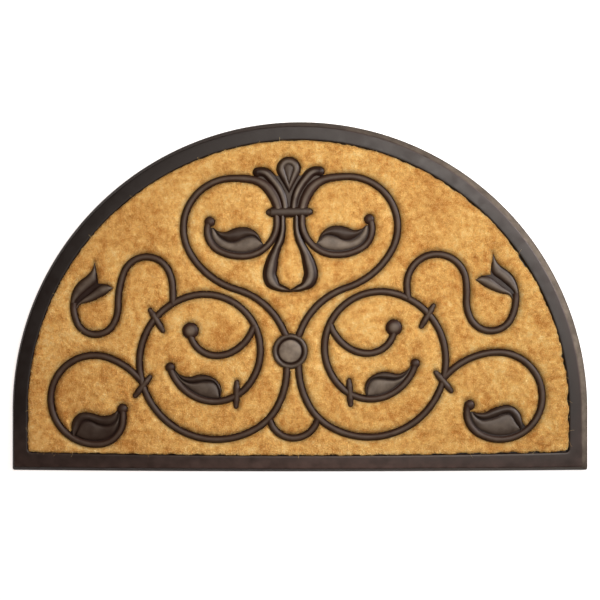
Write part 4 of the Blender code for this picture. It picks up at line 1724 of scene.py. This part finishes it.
@dataclass
class GrowthTree:
    """A geometry tree that grows something on the top of a bed. Its sizes are in metres."""

    title: str = "growth"
    sockets: tuple[tuple[str, str, Any], ...] = ()

    def started(self) -> tuple[bpy.types.NodeTree, bpy.types.NodeOutputs]:
        """Make the empty tree with its inputs and give it with its input sockets."""
        tree = bpy.data.node_groups.new(self.title, "GeometryNodeTree")
        tree.interface.new_socket("Bed", in_out="INPUT", socket_type="NodeSocketGeometry")
        for name, kind, value in (*self.sockets, ("Finish", "Material", None)):
            socket = tree.interface.new_socket(name, in_out="INPUT", socket_type=f"NodeSocket{kind}")
            if value is not None:
                socket.default_value = value
        tree.interface.new_socket("Growth", in_out="OUTPUT", socket_type="NodeSocketGeometry")
        return tree, tree.nodes.new("NodeGroupInput").outputs

    def scattered(self, tree: bpy.types.NodeTree, given: bpy.types.NodeOutputs,
                  density: bpy.types.Node | bpy.types.NodeSocket) -> bpy.types.Node:
        """Scatter points over the top of the bed.

        Args:
            tree: the tree.
            given: its input sockets.
            density: what says how many points there are in a square metre.

        Returns:
            The node that makes the points.
        """
        top = add_node(tree, "GeometryNodeInputNamedAttribute", {"data_type": "BOOLEAN"}, Name="pile_top")
        return add_node(tree, "GeometryNodeDistributePointsOnFaces", {"distribute_method": "RANDOM"},
                        Mesh=given["Bed"], Selection=top, Density=density, Seed=given["Seed"])

    def tinted(self, tree: bpy.types.NodeTree, planted: bpy.types.Node, shades: tuple[float, float],
               seed: int) -> bpy.types.Node:
        """Give each bristle or fibre a shade of its own, and make it real geometry.

        Args:
            tree: the tree.
            planted: the node that plants them.
            shades: the darkest and the palest shade.
            seed: the random draw.

        Returns:
            The node that gives the geometry.
        """
        darkest, palest = shades
        shade = add_node(tree, "FunctionNodeRandomValue", {"data_type": "FLOAT"}, Min=darkest, Max=palest,
                         Seed=seed)
        own = add_node(tree, "GeometryNodeStoreNamedAttribute", {"data_type": "FLOAT", "domain": "INSTANCE"},
                       Geometry=planted, Name="tint", Value=shade)
        return add_node(tree, "GeometryNodeRealizeInstances", {}, Geometry=own)

    def ended(self, tree: bpy.types.NodeTree, given: bpy.types.NodeOutputs, growth: bpy.types.Node) -> None:
        """End the tree: give what has grown its finish and pass it out.

        Args:
            tree: the tree.
            given: its input sockets.
            growth: the node that makes what grows.
        """
        dressed = add_node(tree, "GeometryNodeSetMaterial", {}, Geometry=growth, Material=given["Finish"])
        add_node(tree, "NodeGroupOutput", {}, dressed)


@dataclass
class BristleTree(GrowthTree):
    """Standing bristles: a thin three-sided spike on each of many random points, leaning as the bed says."""

    title: str = "coir bristles"
    sockets: tuple[tuple[str, str, Any], ...] = (
        ("West", "Float", -0.4), ("East", "Float", 0.4), ("Density", "Float", 1000.0),
        ("Length", "Float", 0.003), ("Radius", "Float", 0.0004), ("Spread", "Float", 0.4),
        ("Seed", "Int", 11))

    def made(self) -> bpy.types.NodeTree:
        """Make the tree."""
        tree, given = self.started()
        points = self.scattered(tree, given, given["Density"])
        # Only the points between two lines across the mat carry a bristle, so that the field comes in pieces
        place = add_node(tree, "GeometryNodeInputPosition", {})
        x = add_node(tree, "ShaderNodeSeparateXYZ", {}, place).outputs["X"]
        east = add_node(tree, "FunctionNodeCompare", {"data_type": "FLOAT", "operation": "LESS_THAN"},
                        A=x, B=given["East"])
        west = add_node(tree, "FunctionNodeCompare", {"data_type": "FLOAT", "operation": "GREATER_EQUAL"},
                        A=x, B=given["West"])
        between = add_node(tree, "FunctionNodeBooleanMath", {}, east, west)
        # Each leans as the bed says, and a little its own way
        lean = add_node(tree, "GeometryNodeInputNamedAttribute", {"data_type": "FLOAT_VECTOR"}, Name="lean")
        shaken = add_node(tree, "FunctionNodeRandomValue", {"data_type": "FLOAT_VECTOR"},
                          Min=(-1.0, -1.0, 0.0), Max=(1.0, 1.0, 0.0), Seed=3)
        spread = add_node(tree, "ShaderNodeVectorMath", {"operation": "SCALE"}, Vector=shaken,
                          Scale=given["Spread"])
        way = add_node(tree, "ShaderNodeVectorMath", {"operation": "ADD"}, lean, spread)
        turned = add_node(tree, "FunctionNodeAlignRotationToVector", {"axis": "Z"}, Vector=way)
        stretch = add_node(tree, "FunctionNodeRandomValue", {"data_type": "FLOAT_VECTOR"},
                           Min=(0.75, 0.75, 0.7), Max=(1.3, 1.3, 1.15), Seed=5)
        spike = add_node(tree, "GeometryNodeMeshCone", {"fill_type": "NGON"}, Vertices=3, Radius_Top=0.0,
                         Radius_Bottom=given["Radius"], Depth=given["Length"])
        planted = add_node(tree, "GeometryNodeInstanceOnPoints", {}, Points=points, Selection=between,
                           Instance=spike, Rotation=turned, Scale=stretch)
        self.ended(tree, given, self.tinted(tree, planted, (0.0, 1.0), seed=8))
        return tree


@dataclass
class FibreTree(GrowthTree):
    """Loose fibres: thin curved strands up to a centimetre long that lie over the bristles."""

    title: str = "loose coir fibres"
    sockets: tuple[tuple[str, str, Any], ...] = (
        ("Density", "Float", 5000.0), ("Length", "Float", 0.007), ("Radius", "Float", 0.00012),
        ("Lift", "Float", 0.0013), ("Curl", "Float", 0.004), ("Seed", "Int", 23))
    pieces: int = 5

    def made(self) -> bpy.types.NodeTree:
        """Make the tree."""
        tree, given = self.started()
        loose = add_node(tree, "GeometryNodeInputNamedAttribute", {"data_type": "FLOAT"}, Name="loose")
        density = add_node(tree, "ShaderNodeMath", {"operation": "MULTIPLY"}, given["Density"], loose)
        points = self.scattered(tree, given, density)
        rise = add_node(tree, "ShaderNodeCombineXYZ", {}, Z=given["Lift"])
        raised = add_node(tree, "GeometryNodeSetPosition", {}, Geometry=points, Offset=rise)
        line = add_node(tree, "GeometryNodeCurvePrimitiveLine", {"mode": "DIRECTION"},
                        Direction=(1.0, 0.0, 0.0), Length=given["Length"])
        cut = add_node(tree, "GeometryNodeResampleCurve", {}, Curve=line, Count=self.pieces + 1)
        # They lie nearly flat, each its own way round
        way = add_node(tree, "FunctionNodeRandomValue", {"data_type": "FLOAT_VECTOR"},
                       Min=(-1.0, -1.0, -0.02), Max=(1.0, 1.0, 0.04), Seed=2)
        turned = add_node(tree, "FunctionNodeAlignRotationToVector", {"axis": "X"}, Vector=way)
        size = add_node(tree, "FunctionNodeRandomValue", {"data_type": "FLOAT"}, Min=0.5, Max=1.2, Seed=4)
        laid = add_node(tree, "GeometryNodeInstanceOnPoints", {}, Points=raised, Instance=cut,
                        Rotation=turned, Scale=size)
        real = self.tinted(tree, laid, (0.35, 1.4), seed=9)
        # A drift that changes over some eight millimetres bends them, less upward than sideways
        drift = add_node(tree, "ShaderNodeTexNoise", {}, Scale=130.0, Detail=1.0).outputs["Color"]
        centred = add_node(tree, "ShaderNodeVectorMath", {"operation": "SUBTRACT"}, drift, (0.5, 0.5, 0.5))
        flatter = add_node(tree, "ShaderNodeVectorMath", {"operation": "MULTIPLY"}, centred, (1.0, 1.0, 0.3))
        curl = add_node(tree, "ShaderNodeVectorMath", {"operation": "SCALE"}, Vector=flatter,
                        Scale=given["Curl"])
        curled = add_node(tree, "GeometryNodeSetPosition", {}, Geometry=real, Offset=curl)
        ring = add_node(tree, "GeometryNodeCurvePrimitiveCircle", {}, Resolution=3, Radius=given["Radius"])
        strand = add_node(tree, "GeometryNodeCurveToMesh", {}, Curve=curled, Profile_Curve=ring,
                          Fill_Caps=True)
        self.ended(tree, given, strand)
        return tree


@dataclass(frozen=True)
class SoftBox:
    """A rectangular light that faces the mat: its place and size in metres, its power in watts."""

    name: str
    place: tuple[float, float, float]
    size: tuple[float, float]
    power: float
    colour: str
    gloss: bool = True

    def hang(self) -> None:
        """Make the light."""
        data = bpy.data.lights.new(self.name, "AREA")
        data.shape = "RECTANGLE"
        data.size, data.size_y = self.size
        data.energy = self.power
        data.color = linear(self.colour)[:3]
        obj = bpy.data.objects.new(self.name, data)
        obj.location = self.place
        obj.rotation_euler = (-Vector(self.place)).to_track_quat("-Z", "Y").to_euler()
        obj.visible_camera = False
        obj.visible_glossy = self.gloss
        bpy.context.scene.collection.objects.link(obj)


@dataclass
class Studio:
    """The camera straight above, the pale floor, and soft light that comes mostly from the right."""

    lens: float = 80.0
    sensor: float = 36.0
    view_width: float = 795.1
    camera_y: float = -4.3
    camera_plane: float = 3.0
    floor_half: float = 20000.0
    floor_drop: float = 0.3
    floor_colour: str = "#f4f3f1"
    floor_roughness: float = 0.9
    floor_glow: float = 0.7
    world_colour: tuple[float, ...] = (1.0, 0.98, 0.95, 1.0)
    world_strength: float = 0.05
    boxes: tuple[SoftBox, ...] = (
        SoftBox("soft_box_right", (1.74, 0.85, 0.8), (1.1, 1.1), 36.5, "#fff9f9"),
        SoftBox("soft_box_above", (0.52, 0.42, 1.8), (1.0, 0.8), 13.0, "#fff6ee"),
        SoftBox("fill_over_middle", (0.04, 0.06, 0.5), (0.3, 0.3), 1.25, "#fff0e0", gloss=False),
        SoftBox("warm_fill_left", (-0.9, -0.2, 0.5), (0.5, 0.5), 0.8, "#ff8c30", gloss=False))

    def camera(self) -> None:
        """Hang the camera over the mat so that the outline fills the picture as it does in the photograph."""
        data = bpy.data.cameras.new("camera")
        data.lens = self.lens
        data.sensor_width = self.sensor
        obj = bpy.data.objects.new("camera", data)
        height = self.view_width * self.lens / self.sensor + self.camera_plane
        obj.location = (0.0, self.camera_y * MM, height * MM)
        bpy.context.scene.collection.objects.link(obj)
        bpy.context.scene.camera = obj

    def floor(self) -> None:
        """Lay the floor just under the mat. It glows a little, so that it stays white in the mat's shade."""
        corners = [(x * self.floor_half * MM, y * self.floor_half * MM, -self.floor_drop * MM)
                   for x, y in ((-1, -1), (1, -1), (1, 1), (-1, 1))]
        mesh = bpy.data.meshes.new("studio_floor")
        mesh.from_pydata(corners, [], [(0, 1, 2, 3)])
        paper, tree, shader = new_material("white paper floor")
        wire(tree, shader, Base_Color=linear(self.floor_colour), Roughness=self.floor_roughness,
             Emission_Color=(1.0, 1.0, 1.0, 1.0), Emission_Strength=self.floor_glow)
        mesh.materials.append(paper)
        obj = bpy.data.objects.new("studio_floor", mesh)
        bpy.context.scene.collection.objects.link(obj)

    def build(self) -> None:
        """Set up everything around the mat."""
        self.camera()
        self.floor()
        for box in self.boxes:
            box.hang()
        world = bpy.data.worlds.new("studio")
        world.use_nodes = True
        wire(world.node_tree, world.node_tree.nodes["Background"], Color=self.world_colour,
             Strength=self.world_strength)
        bpy.context.scene.world = world
        bpy.context.scene.view_settings.view_transform = "Standard"


def main() -> None:
    """Build the mat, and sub-assembly by sub-assembly."""
    logging.basicConfig(level=logging.INFO, format="%(name)s: %(message)s")
    Studio().build()
    rubber = MouldedRubber().material()
    smooth = MouldedRubber("moulded rubber, smooth border", specular=0.78, body="#190e08",
                           dust_and_highlight="#8a6a60").material()
    bevel = MouldedRubber("moulded rubber, dull outer side", specular=0.14, body="#20120b",
                          roughness=(0.5, 0.62)).material()
    brown = MouldedRubber("moulded rubber, brown with coir dust", specular=0.34, body="#34221a",
                          dust_and_highlight="#948878", roughness=(0.4, 0.52)).material()
    border, crown, boss = Border(), Crown(), Boss()
    tray = border.build(smooth, bevel)
    Scrolls().build(brown)
    Foliage().build(rubber)
    Fittings().build(brown)
    crown.build(rubber)
    boss.build(rubber)
    CoirPile().build(drawn_plan(border, crown, boss), border.recess, tray)


if __name__ == "__main__":
    main()
